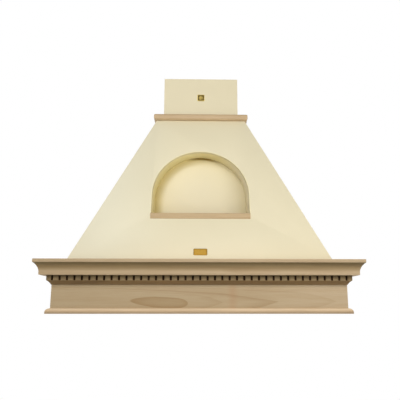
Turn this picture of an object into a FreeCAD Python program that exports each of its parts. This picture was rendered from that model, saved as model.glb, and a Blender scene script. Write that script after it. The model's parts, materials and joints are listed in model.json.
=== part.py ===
"""Wall-hung wooden range hood: base frame, pyramid with arched niche, chimney and extractor.

Frame: millimetres, +Z up, the wall is the plane y = 0, the room is towards -Y, and the
origin is the middle of the wall side at the level of the base moulding's underside.
"""
import os

import FreeCAD
import Part
import Sketcher

doc = FreeCAD.newDocument("range_hood")

# ---------------------------------------------------------------- driving dimensions
DIMENSIONS = [
    # base frame
    ("hood_width", 1200.0),
    ("hood_depth", 500.0),
    ("frame_height", 193.5),
    ("frieze_board", 22.0),
    ("back_rail_board", 22.0),
    ("crown_projection", 58.0),
    ("crown_height", 56.0),
    ("crown_fascia", 12.0),
    ("crown_foot", 8.5),
    ("crown_foot_projection", 38.7),
    ("crown_cove_radius", 42.0),
    ("dentil_projection", 16.0),
    ("dentil_height", 18.5),
    ("dentil_spacing", 26.83),
    ("dentil_gap", 7.6),
    ("dentil_gap_depth", 9.0),
    ("under_cove_height", 15.0),
    ("under_cove_foot", 1.5),
    ("under_cove_radius", 34.0),
    ("base_projection", 15.0),
    ("base_height", 20.0),
    ("base_nosing", 5.5),
    ("base_round", 14.0),
    ("deck_board", 18.0),
    ("deck_gap", 25.0),
    ("corner_block_side", 42.0),
    ("corner_block_height", 110.0),
    # pyramid
    ("shell_board", 18.0),
    ("shell_top", 812.0),
    ("shell_base_width", 989.0),
    ("neck_width", 378.0),
    ("neck_depth", 259.0),
    ("wall_batten", 30.0),
    ("neck_rail_height", 22.0),
    ("neck_rail_width", 30.0),
    ("neck_back_height", 60.0),
    # niche
    ("niche_radius", 192.5),
    ("niche_spring", 464.0),
    ("niche_liner", 9.0),
    ("niche_back_face", 216.0),
    ("niche_back_board", 9.0),
    ("shelf_top", 381.0),
    ("shelf_board", 22.0),
    ("shelf_width", 388.0),
    ("shelf_proud", 8.0),
    ("shelf_round", 2.5),
    ("bearer_height", 30.0),
    ("bearer_width", 360.0),
    ("bearer_depth", 29.0),
    # collar and chimney
    ("collar_height", 26.0),
    ("collar_side_reach", 41.0),
    ("collar_front_reach", 24.0),
    ("collar_round", 8.0),
    ("collar_bevel", 6.0),
    ("chimney_width", 320.0),
    ("chimney_depth", 250.0),
    ("chimney_top", 1010.0),
    ("chimney_board", 18.0),
    # brass
    ("plate_width", 52.0),
    ("plate_height", 26.5),
    ("plate_thickness", 1.6),
    ("plate_level", 225.0),
    ("plate_corner", 4.0),
    ("badge_width", 30.5),
    ("badge_height", 29.5),
    ("badge_thickness", 2.0),
    ("badge_level", 921.0),
    ("badge_corner", 3.0),
    # wall fixings
    ("lower_bolt_inset", 70.0),
    ("lower_bolt_level", 140.0),
    ("upper_bolt_spacing", 240.0),
    ("upper_bolt_level", 781.0),
    ("wall_bolt_radius", 4.5),
    ("bracket_sheet", 2.0),
    ("bracket_height", 30.0),
    ("bracket_flange", 30.0),
    ("bracket_level", 965.0),
    ("bracket_hole_spacing", 200.0),
    ("bracket_hole_radius", 3.0),
    # underside plate
    ("sheet", 1.5),
    ("fit_gap", 0.3),
    ("plate_recess", 30.0),
    ("ledger", 20.0),
    ("ledger_back_gap", 15.0),
    ("screw_shank_radius", 1.75),
    ("screw_hole_radius", 2.0),
    ("screw_head_radius", 4.0),
    ("screw_head", 2.0),
    ("screw_length", 15.0),
    ("screw_pitch", 240.0),
    # filters
    ("filter_bar", 16.0),
    ("filter_width", 262.0),
    ("filter_front_gap", 57.0),
    ("filter_thickness", 9.0),
    ("filter_rim", 14.0),
    ("filter_recess", 2.0),
    ("filter_side_gap", 1.0),
    ("filter_pivot_back", 67.0),
    ("filter_pin_radius", 2.0),
    ("running_gap", 0.05),
    ("lug_thickness", 3.5),
    ("lug_width", 12.0),
    ("grip_width", 70.0),
    ("grip_depth", 3.0),
    ("grip_drop", 9.0),
    # motor box and blower
    ("box_width", 550.0),
    ("box_front_gap", 45.0),
    ("box_back", 25.0),
    ("box_top", 315.0),
    ("fan_back", 205.0),
    ("fan_height", 180.0),
    ("scroll_radius", 80.0),
    ("scroll_step", 30.0),
    ("scroll_tongue", 20.0),
    ("scroll_width", 160.0),
    ("inlet_radius", 56.0),
    ("impeller_radius", 68.0),
    ("impeller_length", 132.0),
    ("impeller_disc", 2.5),
    ("blade_depth", 11.0),
    ("blade_thickness", 1.2),
    ("blade_set_in", 0.5),
    ("hub_radius", 14.0),
    ("hub_length", 26.0),
    ("shaft_radius", 4.0),
    ("shaft_length", 44.0),
    ("shaft_hole_radius", 9.0),
    ("motor_radius", 46.0),
    ("motor_length", 78.0),
    ("motor_flange_radius", 58.0),
    ("motor_flange", 4.0),
    # outlet
    ("duct_back", 110.0),
    ("duct_radius", 75.0),
    ("spigot_height", 70.0),
    ("spigot_flange", 12.0),
    ("flap_level", 30.0),
    ("flap_thickness", 1.0),
    ("flap_gap", 0.8),
    ("flap_knuckle_radius", 2.6),
    ("damper_pin_radius", 1.5),
    # lamps, controls, gland
    ("lamp_back", 200.0),
    ("lamp_radius", 35.0),
    ("lamp_cup_radius", 30.0),
    ("lamp_cup_height", 22.0),
    ("lamp_wall", 2.0),
    ("lens_radius", 25.0),
    ("lens_thickness", 3.0),
    ("control_front_gap", 75.0),
    ("bezel_width", 146.0),
    ("bezel_depth", 38.0),
    ("bezel_thickness", 2.0),
    ("neck_wall", 4.0),
    ("control_height", 15.0),
    ("button_side", 15.4),
    ("button_pitch", 24.0),
    ("button_proud", 3.0),
    ("button_flange", 1.5),
    ("button_flange_height", 3.0),
    ("button_travel", 2.5),
    ("switch_height", 12.0),
    ("gland_side", 115.0),
    ("gland_back", 45.0),
    ("gland_radius", 10.0),
    ("gland_head_radius", 13.0),
    ("gland_head", 5.0),
    ("gland_length", 20.0),
    ("gland_bore_radius", 4.2),
]
BUTTON_COUNT = 5
BLADE_COUNT = 36
KNUCKLES_EACH = 2
FRONT_SCREW_COUNT = 4
TOLERANCE = 1e-6

sheet = doc.addObject("Spreadsheet::Sheet", "Sheet")
for row, (alias, value) in enumerate(DIMENSIONS, start=1):
    sheet.set(f"A{row}", alias)
    sheet.set(f"B{row}", str(value))
    sheet.setAlias(f"B{row}", alias)
doc.recompute()


def number(expression):
    """The present value of an expression on the sheet."""
    return float(sheet.evalExpression(expression))


# ---------------------------------------------------------------- shared places, as expressions
OVERCUT = "1"                      # how far a cutting outline runs past what it cuts
CLEAR_HEIGHT = f"(Sheet.chimney_top + {OVERCUT})"
FRIEZE_HALF = "(Sheet.hood_width / 2 - Sheet.crown_projection)"
FRIEZE_FRONT = "(Sheet.hood_depth - Sheet.crown_projection)"
INNER_HALF = f"({FRIEZE_HALF} - Sheet.frieze_board)"
INNER_FRONT = f"({FRIEZE_FRONT} - Sheet.frieze_board)"
CROWN_FOOT = "(Sheet.frame_height - Sheet.crown_height)"
DENTIL_FOOT = f"({CROWN_FOOT} - Sheet.dentil_height)"
COVE_FOOT = f"({DENTIL_FOOT} - Sheet.under_cove_height)"

SHELL_RISE = "(Sheet.shell_top - Sheet.frame_height)"
SHELL_HALF = "(Sheet.shell_base_width / 2)"
NECK_HALF = "(Sheet.neck_width / 2)"
FRONT_LEAN = f"(({FRIEZE_FRONT} - Sheet.neck_depth) / {SHELL_RISE})"
SIDE_LEAN = f"(({SHELL_HALF} - {NECK_HALF}) / {SHELL_RISE})"
FRONT_WALL = f"(Sheet.shell_board * sqrt(1 + {FRONT_LEAN} ^ 2))"
SIDE_WALL = f"(Sheet.shell_board * sqrt(1 + {SIDE_LEAN} ^ 2))"

SHELF_FOOT = "(Sheet.shelf_top - Sheet.shelf_board)"
LINER_RADIUS = "(Sheet.niche_radius + Sheet.niche_liner)"
NICHE_BACK = "(Sheet.niche_back_face - Sheet.niche_back_board)"
CHIMNEY_HALF = "(Sheet.chimney_width / 2)"
COLLAR_HALF = f"({CHIMNEY_HALF} + Sheet.collar_side_reach)"
COLLAR_FRONT = "(Sheet.chimney_depth + Sheet.collar_front_reach)"
COLLAR_TOP = "(Sheet.shell_top + Sheet.collar_height)"

PLATE_TOP = "(Sheet.plate_recess + Sheet.sheet)"
FILTER_AXIS = f"({PLATE_TOP} - Sheet.filter_thickness / 2)"
FILTER_MIDDLE = "((Sheet.filter_bar + Sheet.filter_width) / 2 + Sheet.filter_side_gap)"
FILTER_HALF = "(Sheet.filter_width / 2)"
FILTER_FRONT = f"({INNER_FRONT} - Sheet.filter_front_gap)"
BOX_HALF = "(Sheet.box_width / 2)"
BOX_FRONT = f"({INNER_FRONT} - Sheet.box_front_gap)"
BOX_CEILING = "(Sheet.box_top - Sheet.sheet)"
SCROLL_HALF = "(Sheet.scroll_width / 2)"
CASE_HALF = f"({SCROLL_HALF} + Sheet.sheet)"
FLAP_AXIS = "(Sheet.box_top + Sheet.flap_level)"
DUCT_BORE = "(Sheet.duct_radius - Sheet.sheet)"
PANEL_MIDDLE = f"(({BOX_HALF} + {INNER_HALF}) / 2)"
CONTROL_BACK = f"({INNER_FRONT} - Sheet.control_front_gap)"
CONTROL_FOOT = "(Sheet.plate_recess - Sheet.bezel_thickness)"
CONTROL_TOP = "(Sheet.plate_recess + Sheet.control_height)"


def shell_front_at(level):
    """Distance from the wall of the front panel's outer face at a level."""
    return f"({FRIEZE_FRONT} - {FRONT_LEAN} * ({level} - Sheet.frame_height))"


def shell_back_at(level):
    """Distance from the wall of the front panel's back face at a level."""
    return f"({shell_front_at(level)} - {FRONT_WALL})"


def shell_inside_at(level):
    """Half width between the inner faces of the side panels at a level."""
    return f"({SHELL_HALF} - {SIDE_LEAN} * ({level} - Sheet.frame_height) - {SIDE_WALL})"


# ---------------------------------------------------------------- sketch and feature helpers
def new_body(label):
    """An empty body under its sub-part's name."""
    body = doc.addObject("PartDesign::Body", label)
    body.Label = label
    return body


def new_sketch(body, plane, level="0"):
    """A sketch on one of the body's origin planes, lifted along the plane's normal."""
    sketch = body.newObject("Sketcher::SketchObject", body.Label + "_sketch")
    feature = [f for f in body.Origin.OriginFeatures if f.Role == plane][0]
    sketch.AttachmentSupport = [(feature, "")]
    sketch.MapMode = "FlatFace"
    if level != "0":
        sketch.setExpression("AttachmentOffset.Base.z", level)
    return sketch


def fix_point(sketch, geometry, end, x, y):
    """Tie one end of an edge to its place, given as two expressions."""
    for kind, axis, expression in (("DistanceX", -2, x), ("DistanceY", -1, y)):
        if expression == "0":
            sketch.addConstraint(Sketcher.Constraint("PointOnObject", geometry, end, axis))
            continue
        datum = Sketcher.Constraint(kind, -1, 1, geometry, end, number(expression))
        index = sketch.addConstraint(datum)
        sketch.setExpression(f"Constraints[{index}]", expression)


def arc_between(start, finish, radius, side):
    """The arc from start to finish, bulging to the given side (+1 left, -1 right)."""
    chord = finish - start
    middle = (start + finish) * 0.5
    across = FreeCAD.Vector(-chord.y, chord.x, 0).normalize()
    reach = max(radius ** 2 - (chord.Length / 2) ** 2, 0.0) ** 0.5
    centre = middle - across * (side * reach)
    ring = Part.Circle(centre, FreeCAD.Vector(0, 0, 1), radius)
    low, high = (start, finish) if side < 0 else (finish, start)
    return Part.ArcOfCircle(ring, ring.parameter(low), ring.parameter(high))


def outline(sketch, points):
    """A closed outline. Each point is (x, y) or (x, y, radius, side): then an arc leaves it."""
    first = sketch.GeometryCount
    places = [FreeCAD.Vector(number(p[0]), number(p[1]), 0) for p in points]
    ends = []
    for index, point in enumerate(points):
        start = places[index]
        finish = places[(index + 1) % len(points)]
        if len(point) == 2:
            sketch.addGeometry(Part.LineSegment(start, finish))
            ends.append((1, 2))
            continue
        radius, side = point[2], point[3]
        sketch.addGeometry(arc_between(start, finish, number(radius), side))
        ends.append((1, 2) if side < 0 else (2, 1))
    for index, point in enumerate(points):
        geometry = first + index
        following = (index + 1) % len(points)
        joint = (geometry, ends[index][1], first + following, ends[following][0])
        sketch.addConstraint(Sketcher.Constraint("Coincident", *joint))
        fix_point(sketch, geometry, ends[index][0], point[0], point[1])
        if len(point) == 4:
            datum = Sketcher.Constraint("Radius", geometry, number(point[2]))
            tie = sketch.addConstraint(datum)
            sketch.setExpression(f"Constraints[{tie}]", point[2])
    return sketch


def rectangle(sketch, x0, x1, y0, y1):
    """A closed rectangle between two pairs of expressions."""
    return outline(sketch, [(x0, y0), (x1, y0), (x1, y1), (x0, y1)])


def circle(sketch, x, y, radius):
    """A circle whose centre and radius are expressions."""
    centre = FreeCAD.Vector(number(x), number(y), 0)
    sketch.addGeometry(Part.Circle(centre, FreeCAD.Vector(0, 0, 1), number(radius)))
    geometry = sketch.GeometryCount - 1
    fix_point(sketch, geometry, 3, x, y)
    tie = sketch.addConstraint(Sketcher.Constraint("Radius", geometry, number(radius)))
    sketch.setExpression(f"Constraints[{tie}]", radius)
    return sketch


def pad(body, sketch, length, side="along", reverse=False):
    """Pad a sketch along its normal, against it, or both ways."""
    feature = body.newObject("PartDesign::Pad", body.Label + "_pad")
    feature.Profile = sketch
    feature.SideType = "Symmetric" if side == "both" else "One side"
    feature.Reversed = reverse
    feature.setExpression("Length", length)
    sketch.Visibility = False
    doc.recompute()
    return feature


def pocket(body, sketch, length, side="along", reverse=False):
    """Cut a sketch out against its normal, or along it when reversed, or both ways."""
    before = body.Shape.Volume
    feature = body.newObject("PartDesign::Pocket", body.Label + "_pocket")
    feature.Profile = sketch
    feature.SideType = "Symmetric" if side == "both" else "One side"
    feature.Reversed = reverse
    feature.setExpression("Length", length)
    sketch.Visibility = False
    doc.recompute()
    if not feature.Shape.Volume < before:
        raise RuntimeError(f"{body.Label}: a pocket cut nothing")
    return feature


def drill(body, plane, centres, radius, length, level="0", reverse=False, side="along"):
    """Round holes of one radius at a list of centres."""
    sketch = new_sketch(body, plane, level)
    for x, y in centres:
        circle(sketch, x, y, radius)
    return pocket(body, sketch, length, side, reverse)


def repeat(body, feature, direction, step, copies):
    """Repeat a feature in a row. The count is an expression."""
    row = body.newObject("PartDesign::LinearPattern", body.Label + "_row")
    row.Originals = [feature]
    row.Direction = direction
    row.Mode = "Spacing"
    row.setExpression("Offset", step)
    row.setExpression("Occurrences", copies)
    body.Tip = row
    doc.recompute()
    return row


def box_part(label, x0, x1, y0, y1, z0, z1):
    """A plain rectangular board between three pairs of expressions."""
    board = doc.addObject("Part::Box", label)
    board.Label = label
    for size, low, high in (("Length", x0, x1), ("Width", y0, y1), ("Height", z0, z1)):
        board.setExpression(size, f"({high}) - ({low})")
    for axis, low in (("x", x0), ("y", y0), ("z", z0)):
        board.setExpression(f"Placement.Base.{axis}", low)
    return board


def group(label, members):
    """Several like solids under one name."""
    compound = doc.addObject("Part::Compound", label)
    compound.Label = label
    compound.Links = members
    return compound


parts = []


def keep(thing):
    """Remember a finished sub-part."""
    parts.append(thing)
    return thing


# ---------------------------------------------------------------- mouldings that run round three sides
def mirrored(points):
    """The same outline drawn from the other side, so its arcs bulge the other way."""
    return [p if len(p) == 2 else (p[0], p[1], p[2], -p[3]) for p in points]


def front_run(label, profile, half, front, reach, back="0"):
    """A front length with both ends mitred. Profile points are (outward, up)."""
    body = new_body(label)
    points = [(f"-({front} + {p[0]})", *p[1:]) for p in mirrored(profile)]
    pad(body, outline(new_sketch(body, "YZ_Plane"), points), f"2 * ({half} + {reach})", "both")
    for sign in ("-", ""):
        out_x = f"{sign}({half} + {reach} + {OVERCUT})"
        in_x = f"{sign}({half} - {back} - {OVERCUT})"
        out_y = f"-({front} + {reach} + {OVERCUT})"
        in_y = f"-({front} - {back} - {OVERCUT})"
        sketch = outline(new_sketch(body, "XY_Plane"), [(out_x, out_y), (out_x, in_y), (in_x, in_y)])
        pocket(body, sketch, CLEAR_HEIGHT, reverse=True)
    return body


def side_run(label, profile, half, length, cut, sign):
    """A side length from the wall to the front corner. The cut's points are (outward, y)."""
    body = new_body(label)
    seen = profile if sign == "" else mirrored(profile)
    points = [(f"{sign}({half} + {p[0]})", *p[1:]) for p in seen]
    pad(body, outline(new_sketch(body, "XZ_Plane"), points), length)
    corner = [(f"{sign}{x}", y) for x, y in cut]
    pocket(body, outline(new_sketch(body, "XY_Plane"), corner), CLEAR_HEIGHT, reverse=True)
    return body


def three_runs(name, profile, half, front, reach, back="0"):
    """Front, left and right lengths of one moulding or board."""
    out_y = f"-({front} + {reach} + {OVERCUT})"
    in_x = f"({half} - {back} - {OVERCUT})"
    in_y = f"-({front} - {back} - {OVERCUT})"
    cut = [(f"({half} + {reach} + {OVERCUT})", out_y), (in_x, in_y), (in_x, out_y)]
    keep(front_run(name + "_front", profile, half, front, reach, back))
    keep(side_run(name + "_left", profile, half, f"{front} + {reach}", cut, "-"))
    keep(side_run(name + "_right", profile, half, f"{front} + {reach}", cut, ""))


def make_frieze():
    """The three plain boards that carry everything else of the base frame."""
    profile = [("-Sheet.frieze_board", "0"), ("0", "0"), ("0", "Sheet.frame_height"),
               ("-Sheet.frieze_board", "Sheet.frame_height")]
    three_runs("frieze", profile, FRIEZE_HALF, FRIEZE_FRONT, "0", "Sheet.frieze_board")


def make_crown():
    """Fascia over a long cove over a short upright foot."""
    fascia_foot = "(Sheet.frame_height - Sheet.crown_fascia)"
    cove_foot = f"({CROWN_FOOT} + Sheet.crown_foot)"
    profile = [
        ("0", CROWN_FOOT),
        ("Sheet.crown_foot_projection", CROWN_FOOT),
        ("Sheet.crown_foot_projection", cove_foot, "Sheet.crown_cove_radius", 1),
        ("Sheet.crown_projection", fascia_foot),
        ("Sheet.crown_projection", "Sheet.frame_height"),
        ("0", "Sheet.frame_height"),
    ]
    three_runs("crown", profile, FRIEZE_HALF, FRIEZE_FRONT, "Sheet.crown_projection")


def make_base_moulding():
    """The rounded moulding along the lower edge."""
    round_foot = "Sheet.base_nosing"
    round_head = "(Sheet.base_nosing + Sheet.base_round)"
    profile = [
        ("0", "0"),
        ("Sheet.base_projection", "0"),
        ("Sheet.base_projection", round_foot, "Sheet.base_round", -1),
        ("(Sheet.base_projection - Sheet.base_round)", round_head),
        ("0", "Sheet.base_height"),
    ]
    three_runs("base_moulding", profile, FRIEZE_HALF, FRIEZE_FRONT, "Sheet.base_projection")


def make_dentils():
    """A band cut into dentils, with a shallow cove below it."""
    profile = [
        ("0", COVE_FOOT),
        ("Sheet.under_cove_foot", COVE_FOOT, "Sheet.under_cove_radius", 1),
        ("Sheet.dentil_projection", DENTIL_FOOT),
        ("Sheet.dentil_projection", CROWN_FOOT),
        ("0", CROWN_FOOT),
    ]
    three_runs("dentil_moulding", profile, FRIEZE_HALF, FRIEZE_FRONT, "Sheet.dentil_projection")
    front, left, right = parts[-3:]
    half_gap = "Sheet.dentil_gap / 2"
    room = f"({FRIEZE_HALF} + Sheet.dentil_projection - Sheet.dentil_gap_depth - Sheet.dentil_gap)"
    pairs = f"floor({room} / Sheet.dentil_spacing)"
    outer = f"({FRIEZE_FRONT} + Sheet.dentil_projection)"
    sketch = new_sketch(front, "XY_Plane", DENTIL_FOOT)
    start = f"(-{pairs} * Sheet.dentil_spacing)"
    rectangle(sketch, f"{start} - {half_gap}", f"{start} + {half_gap}",
              f"-({outer} + {OVERCUT})", f"-({outer} - Sheet.dentil_gap_depth)")
    gap = pocket(front, sketch, "Sheet.dentil_height", reverse=True)
    repeat(front, gap, (sketch, ["H_Axis"]), "Sheet.dentil_spacing", f"2 * {pairs} + 1")
    corner = f"({FRIEZE_HALF} + Sheet.dentil_projection - {pairs} * Sheet.dentil_spacing)"
    first = f"({corner} - {outer})"
    count = f"floor(({outer} - {corner} - Sheet.dentil_gap) / Sheet.dentil_spacing) + 1"
    for body, sign in ((left, "-"), (right, "")):
        sketch = new_sketch(body, "XY_Plane", DENTIL_FOOT)
        edge = f"({FRIEZE_HALF} + Sheet.dentil_projection"
        rectangle(sketch, f"{sign}{edge} - Sheet.dentil_gap_depth)", f"{sign}{edge} + {OVERCUT})",
                  f"{first} - {half_gap}", f"{first} + {half_gap}")
        gap = pocket(body, sketch, "Sheet.dentil_height", reverse=True)
        repeat(body, gap, (sketch, ["V_Axis"]), "Sheet.dentil_spacing", count)


def make_back_rail():
    """The rail against the wall, with the lower pair of wall bolt holes."""
    body = new_body("back_rail")
    sketch = new_sketch(body, "XZ_Plane")
    rectangle(sketch, f"-{INNER_HALF}", INNER_HALF, "0", "Sheet.frame_height")
    pad(body, sketch, "Sheet.back_rail_board")
    side = f"({INNER_HALF} - Sheet.lower_bolt_inset)"
    centres = [(f"{sign}{side}", "Sheet.lower_bolt_level") for sign in ("-", "")]
    drill(body, "XZ_Plane", centres, "Sheet.wall_bolt_radius", "Sheet.back_rail_board", reverse=True)
    keep(body)


def make_decks():
    """The two boards that close the frame's top beside the extractor."""
    low, high = "Sheet.frame_height - Sheet.deck_board", "Sheet.frame_height"
    inner = f"({BOX_HALF} + Sheet.deck_gap)"
    places = (("deck_left", f"-{INNER_HALF}", f"-{inner}"), ("deck_right", inner, INNER_HALF))
    for label, x0, x1 in places:
        keep(box_part(label, x0, x1, f"-{INNER_FRONT}", "-Sheet.back_rail_board", low, high))


def make_corner_blocks():
    """Four triangular blocks that hold the frame's corners and carry the decks."""
    top = "(Sheet.frame_height - Sheet.deck_board)"
    level = f"({top} - Sheet.corner_block_height)"
    blocks = []
    for x_sign, x_name in (("-", "left"), ("", "right")):
        for y_name, y in (("front", f"-{INNER_FRONT}"), ("back", "-Sheet.back_rail_board")):
            inwards = "+" if y_name == "front" else "-"
            body = new_body(f"corner_block_{y_name}_{x_name}")
            corner = (f"{x_sign}{INNER_HALF}", y)
            along = (f"{x_sign}({INNER_HALF} - Sheet.corner_block_side)", y)
            across = (f"{x_sign}{INNER_HALF}", f"{y} {inwards} Sheet.corner_block_side")
            sketch = outline(new_sketch(body, "XY_Plane", level), [corner, along, across])
            pad(body, sketch, "Sheet.corner_block_height")
            blocks.append(body)
    keep(group("corner_blocks", blocks))


# ---------------------------------------------------------------- pyramid
def loft_between(body, low_points, high_points, low, high):
    """A ruled loft between two level outlines with the same number of points."""
    low_sketch = outline(new_sketch(body, "XY_Plane", low), low_points)
    high_sketch = outline(new_sketch(body, "XY_Plane", high), high_points)
    loft = body.newObject("PartDesign::AdditiveLoft", body.Label + "_loft")
    loft.Profile = low_sketch
    loft.Sections = [high_sketch]
    loft.Ruled = True
    doc.recompute()
    return loft


def shell_corners(half, front):
    """The outer and inner corner of the pyramid at one level."""
    return (half, front), (f"({half} - {SIDE_WALL})", f"({front} - {FRONT_WALL})")


def make_shell():
    """Front panel with the arched opening, and the two side panels, mitred at the corners."""
    levels = [(shell_corners(SHELL_HALF, FRIEZE_FRONT)), (shell_corners(NECK_HALF, "Sheet.neck_depth"))]
    front_points = []
    for (out_x, out_y), (in_x, in_y) in levels:
        front_points.append([(f"-{out_x}", f"-{out_y}"), (out_x, f"-{out_y}"),
                             (in_x, f"-{in_y}"), (f"-{in_x}", f"-{in_y}")])
    front = new_body("shell_front")
    loft_between(front, front_points[0], front_points[1], "Sheet.frame_height", "Sheet.shell_top")
    half = "Sheet.niche_radius"
    slot = "(Sheet.shelf_width / 2)"
    shelf, spring = "Sheet.shelf_top", "Sheet.niche_spring"
    opening = [
        (f"-{slot}", SHELF_FOOT), (slot, SHELF_FOOT), (slot, shelf), (half, shelf),
        (half, spring, half, -1), ("0", f"{spring} + {half}", half, -1),
        (f"-{half}", spring), (f"-{half}", shelf), (f"-{slot}", shelf),
    ]
    pocket(front, outline(new_sketch(front, "XZ_Plane"), opening), "Sheet.hood_depth", reverse=True)
    keep(front)
    for label, sign in (("shell_left", "-"), ("shell_right", "")):
        body = new_body(label)
        rings = []
        for (out_x, out_y), (in_x, in_y) in levels:
            rings.append([(f"{sign}{out_x}", "0"), (f"{sign}{out_x}", f"-{out_y}"),
                          (f"{sign}{in_x}", f"-{in_y}"), (f"{sign}{in_x}", "0")])
        loft_between(body, rings[0], rings[1], "Sheet.frame_height", "Sheet.shell_top")
        keep(body)


def make_wall_battens():
    """Sloping battens inside the side panels, against the wall."""
    high = "(Sheet.shell_top - Sheet.neck_back_height)"
    for label, sign in (("wall_batten_left", "-"), ("wall_batten_right", "")):
        body = new_body(label)
        rings = []
        for level in ("Sheet.frame_height", high):
            outer = shell_inside_at(level)
            inner = f"({outer} - Sheet.wall_batten)"
            rings.append([(f"{sign}{outer}", "0"), (f"{sign}{outer}", "-Sheet.wall_batten"),
                          (f"{sign}{inner}", "-Sheet.wall_batten"), (f"{sign}{inner}", "0")])
        loft_between(body, rings[0], rings[1], "Sheet.frame_height", high)
        keep(body)


def make_neck_rails():
    """Rails under the collar: one against the wall with the upper bolt holes, one each side."""
    top = "Sheet.shell_top"
    foot = "(Sheet.shell_top - Sheet.neck_back_height)"
    body = new_body("neck_rail_back")
    wide = shell_inside_at(foot)
    narrow = shell_inside_at(top)
    sketch = outline(new_sketch(body, "XZ_Plane"),
                     [(f"-{wide}", foot), (wide, foot), (narrow, top), (f"-{narrow}", top)])
    pad(body, sketch, "Sheet.back_rail_board")
    centres = [(f"{sign}Sheet.upper_bolt_spacing / 2", "Sheet.upper_bolt_level") for sign in ("-", "")]
    drill(body, "XZ_Plane", centres, "Sheet.wall_bolt_radius", "Sheet.back_rail_board", reverse=True)
    keep(body)
    foot = "(Sheet.shell_top - Sheet.neck_rail_height)"
    length = f"{shell_back_at(top)} - Sheet.back_rail_board"
    for label, sign in (("neck_rail_left", "-"), ("neck_rail_right", "")):
        body = new_body(label)
        inner = f"({shell_inside_at(top)} - Sheet.neck_rail_width)"
        points = [(f"{sign}{inner}", foot), (f"{sign}{shell_inside_at(foot)}", foot),
                  (f"{sign}{shell_inside_at(top)}", top), (f"{sign}{inner}", top)]
        pad(body, outline(new_sketch(body, "XZ_Plane", "Sheet.back_rail_board"), points), length)
        keep(body)


# ---------------------------------------------------------------- niche
def make_niche():
    """The curved liner, the back board, the shelf and the bearer that carries it."""
    liner = new_body("niche_arch")
    inner = "Sheet.niche_radius"
    spring = "Sheet.niche_spring"
    outer = LINER_RADIUS
    points = [
        (inner, "Sheet.shelf_top"), (outer, "Sheet.shelf_top"), (outer, spring, outer, -1),
        ("0", f"{spring} + {outer}", outer, -1), (f"-{outer}", spring),
        (f"-{outer}", "Sheet.shelf_top"), (f"-{inner}", "Sheet.shelf_top"), (f"-{inner}", spring, inner, 1),
        ("0", f"{spring} + {inner}", inner, 1), (inner, spring),
    ]
    depth = "Sheet.hood_depth - Sheet.niche_back_face"
    pad(liner, outline(new_sketch(liner, "XZ_Plane", "Sheet.niche_back_face"), points), depth)
    low = SHELF_FOOT
    high = f"({spring} + {outer} + {OVERCUT})"
    beyond = f"-(Sheet.hood_depth + {OVERCUT})"
    low_y, high_y = f"-{shell_back_at(low)}", f"-{shell_back_at(high)}"
    wedge = [(beyond, low), (low_y, low), (high_y, high), (beyond, high)]
    pocket(liner, outline(new_sketch(liner, "YZ_Plane"), wedge), f"2 * ({outer} + {OVERCUT})", "both")
    keep(liner)
    keep(box_part("niche_back", f"-{outer}", outer, "-Sheet.niche_back_face", f"-{NICHE_BACK}",
                  SHELF_FOOT, f"{spring} + {outer}"))
    shelf = new_body("niche_shelf")
    front = f"({shell_front_at('Sheet.shelf_top')} + Sheet.shelf_proud)"
    sketch = rectangle(new_sketch(shelf, "XY_Plane", SHELF_FOOT), "-Sheet.shelf_width / 2",
                       "Sheet.shelf_width / 2", f"-{front}", "-Sheet.niche_back_face")
    board = pad(shelf, sketch, "Sheet.shelf_board")
    fillet = shelf.newObject("PartDesign::Fillet", "niche_shelf_edge")
    fillet.Base = (board, front_edges(board.Shape, -number(front)))
    fillet.setExpression("Radius", "Sheet.shelf_round")
    doc.recompute()
    keep(shelf)
    bearer = new_body("shelf_bearer")
    foot = f"({SHELF_FOOT} - Sheet.bearer_height)"
    face = shell_back_at(SHELF_FOOT)
    back = f"-({face} - Sheet.bearer_depth)"
    points = [(f"-{shell_back_at(foot)}", foot), (f"-{face}", SHELF_FOOT), (back, SHELF_FOOT), (back, foot)]
    pad(bearer, outline(new_sketch(bearer, "YZ_Plane"), points), "Sheet.bearer_width", "both")
    keep(bearer)


def front_edges(shape, y):
    """Names of the level edges that lie in the front plane."""
    names = []
    for index, edge in enumerate(shape.Edges, start=1):
        box = edge.BoundBox
        in_plane = abs(box.YMin - y) < TOLERANCE and abs(box.YMax - y) < TOLERANCE
        if in_plane and box.XLength > TOLERANCE and box.ZLength < TOLERANCE:
            names.append(f"Edge{index}")
    return names


# ---------------------------------------------------------------- collar, chimney, brass
def collar_profile(reach):
    """Bevelled below and rounded above, from the chimney's face outwards."""
    bevel = "(Sheet.shell_top + Sheet.collar_bevel)"
    round_foot = f"({COLLAR_TOP} - Sheet.collar_round)"
    return [
        ("0", "Sheet.shell_top"), (f"({reach} - Sheet.collar_bevel)", "Sheet.shell_top"), (reach, bevel),
        (reach, round_foot, "Sheet.collar_round", -1),
        (f"({reach} - Sheet.collar_round)", COLLAR_TOP), ("0", COLLAR_TOP),
    ]


def make_collar():
    """The moulding round the neck, deeper at the sides than at the front."""
    mitre_half = f"({COLLAR_HALF} - Sheet.collar_front_reach)"
    keep(front_run("collar_front", collar_profile("Sheet.collar_front_reach"), mitre_half,
                   "Sheet.chimney_depth", "Sheet.collar_front_reach"))
    out_y = f"-({COLLAR_FRONT} + {OVERCUT})"
    inside = f"({CHIMNEY_HALF} - {OVERCUT})"
    cut = [(f"({COLLAR_HALF} + {OVERCUT})", out_y), (mitre_half, "-Sheet.chimney_depth"),
           (inside, "-Sheet.chimney_depth"), (inside, out_y)]
    profile = collar_profile("Sheet.collar_side_reach")
    for label, sign in (("collar_left", "-"), ("collar_right", "")):
        keep(side_run(label, profile, CHIMNEY_HALF, COLLAR_FRONT, cut, sign))


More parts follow.
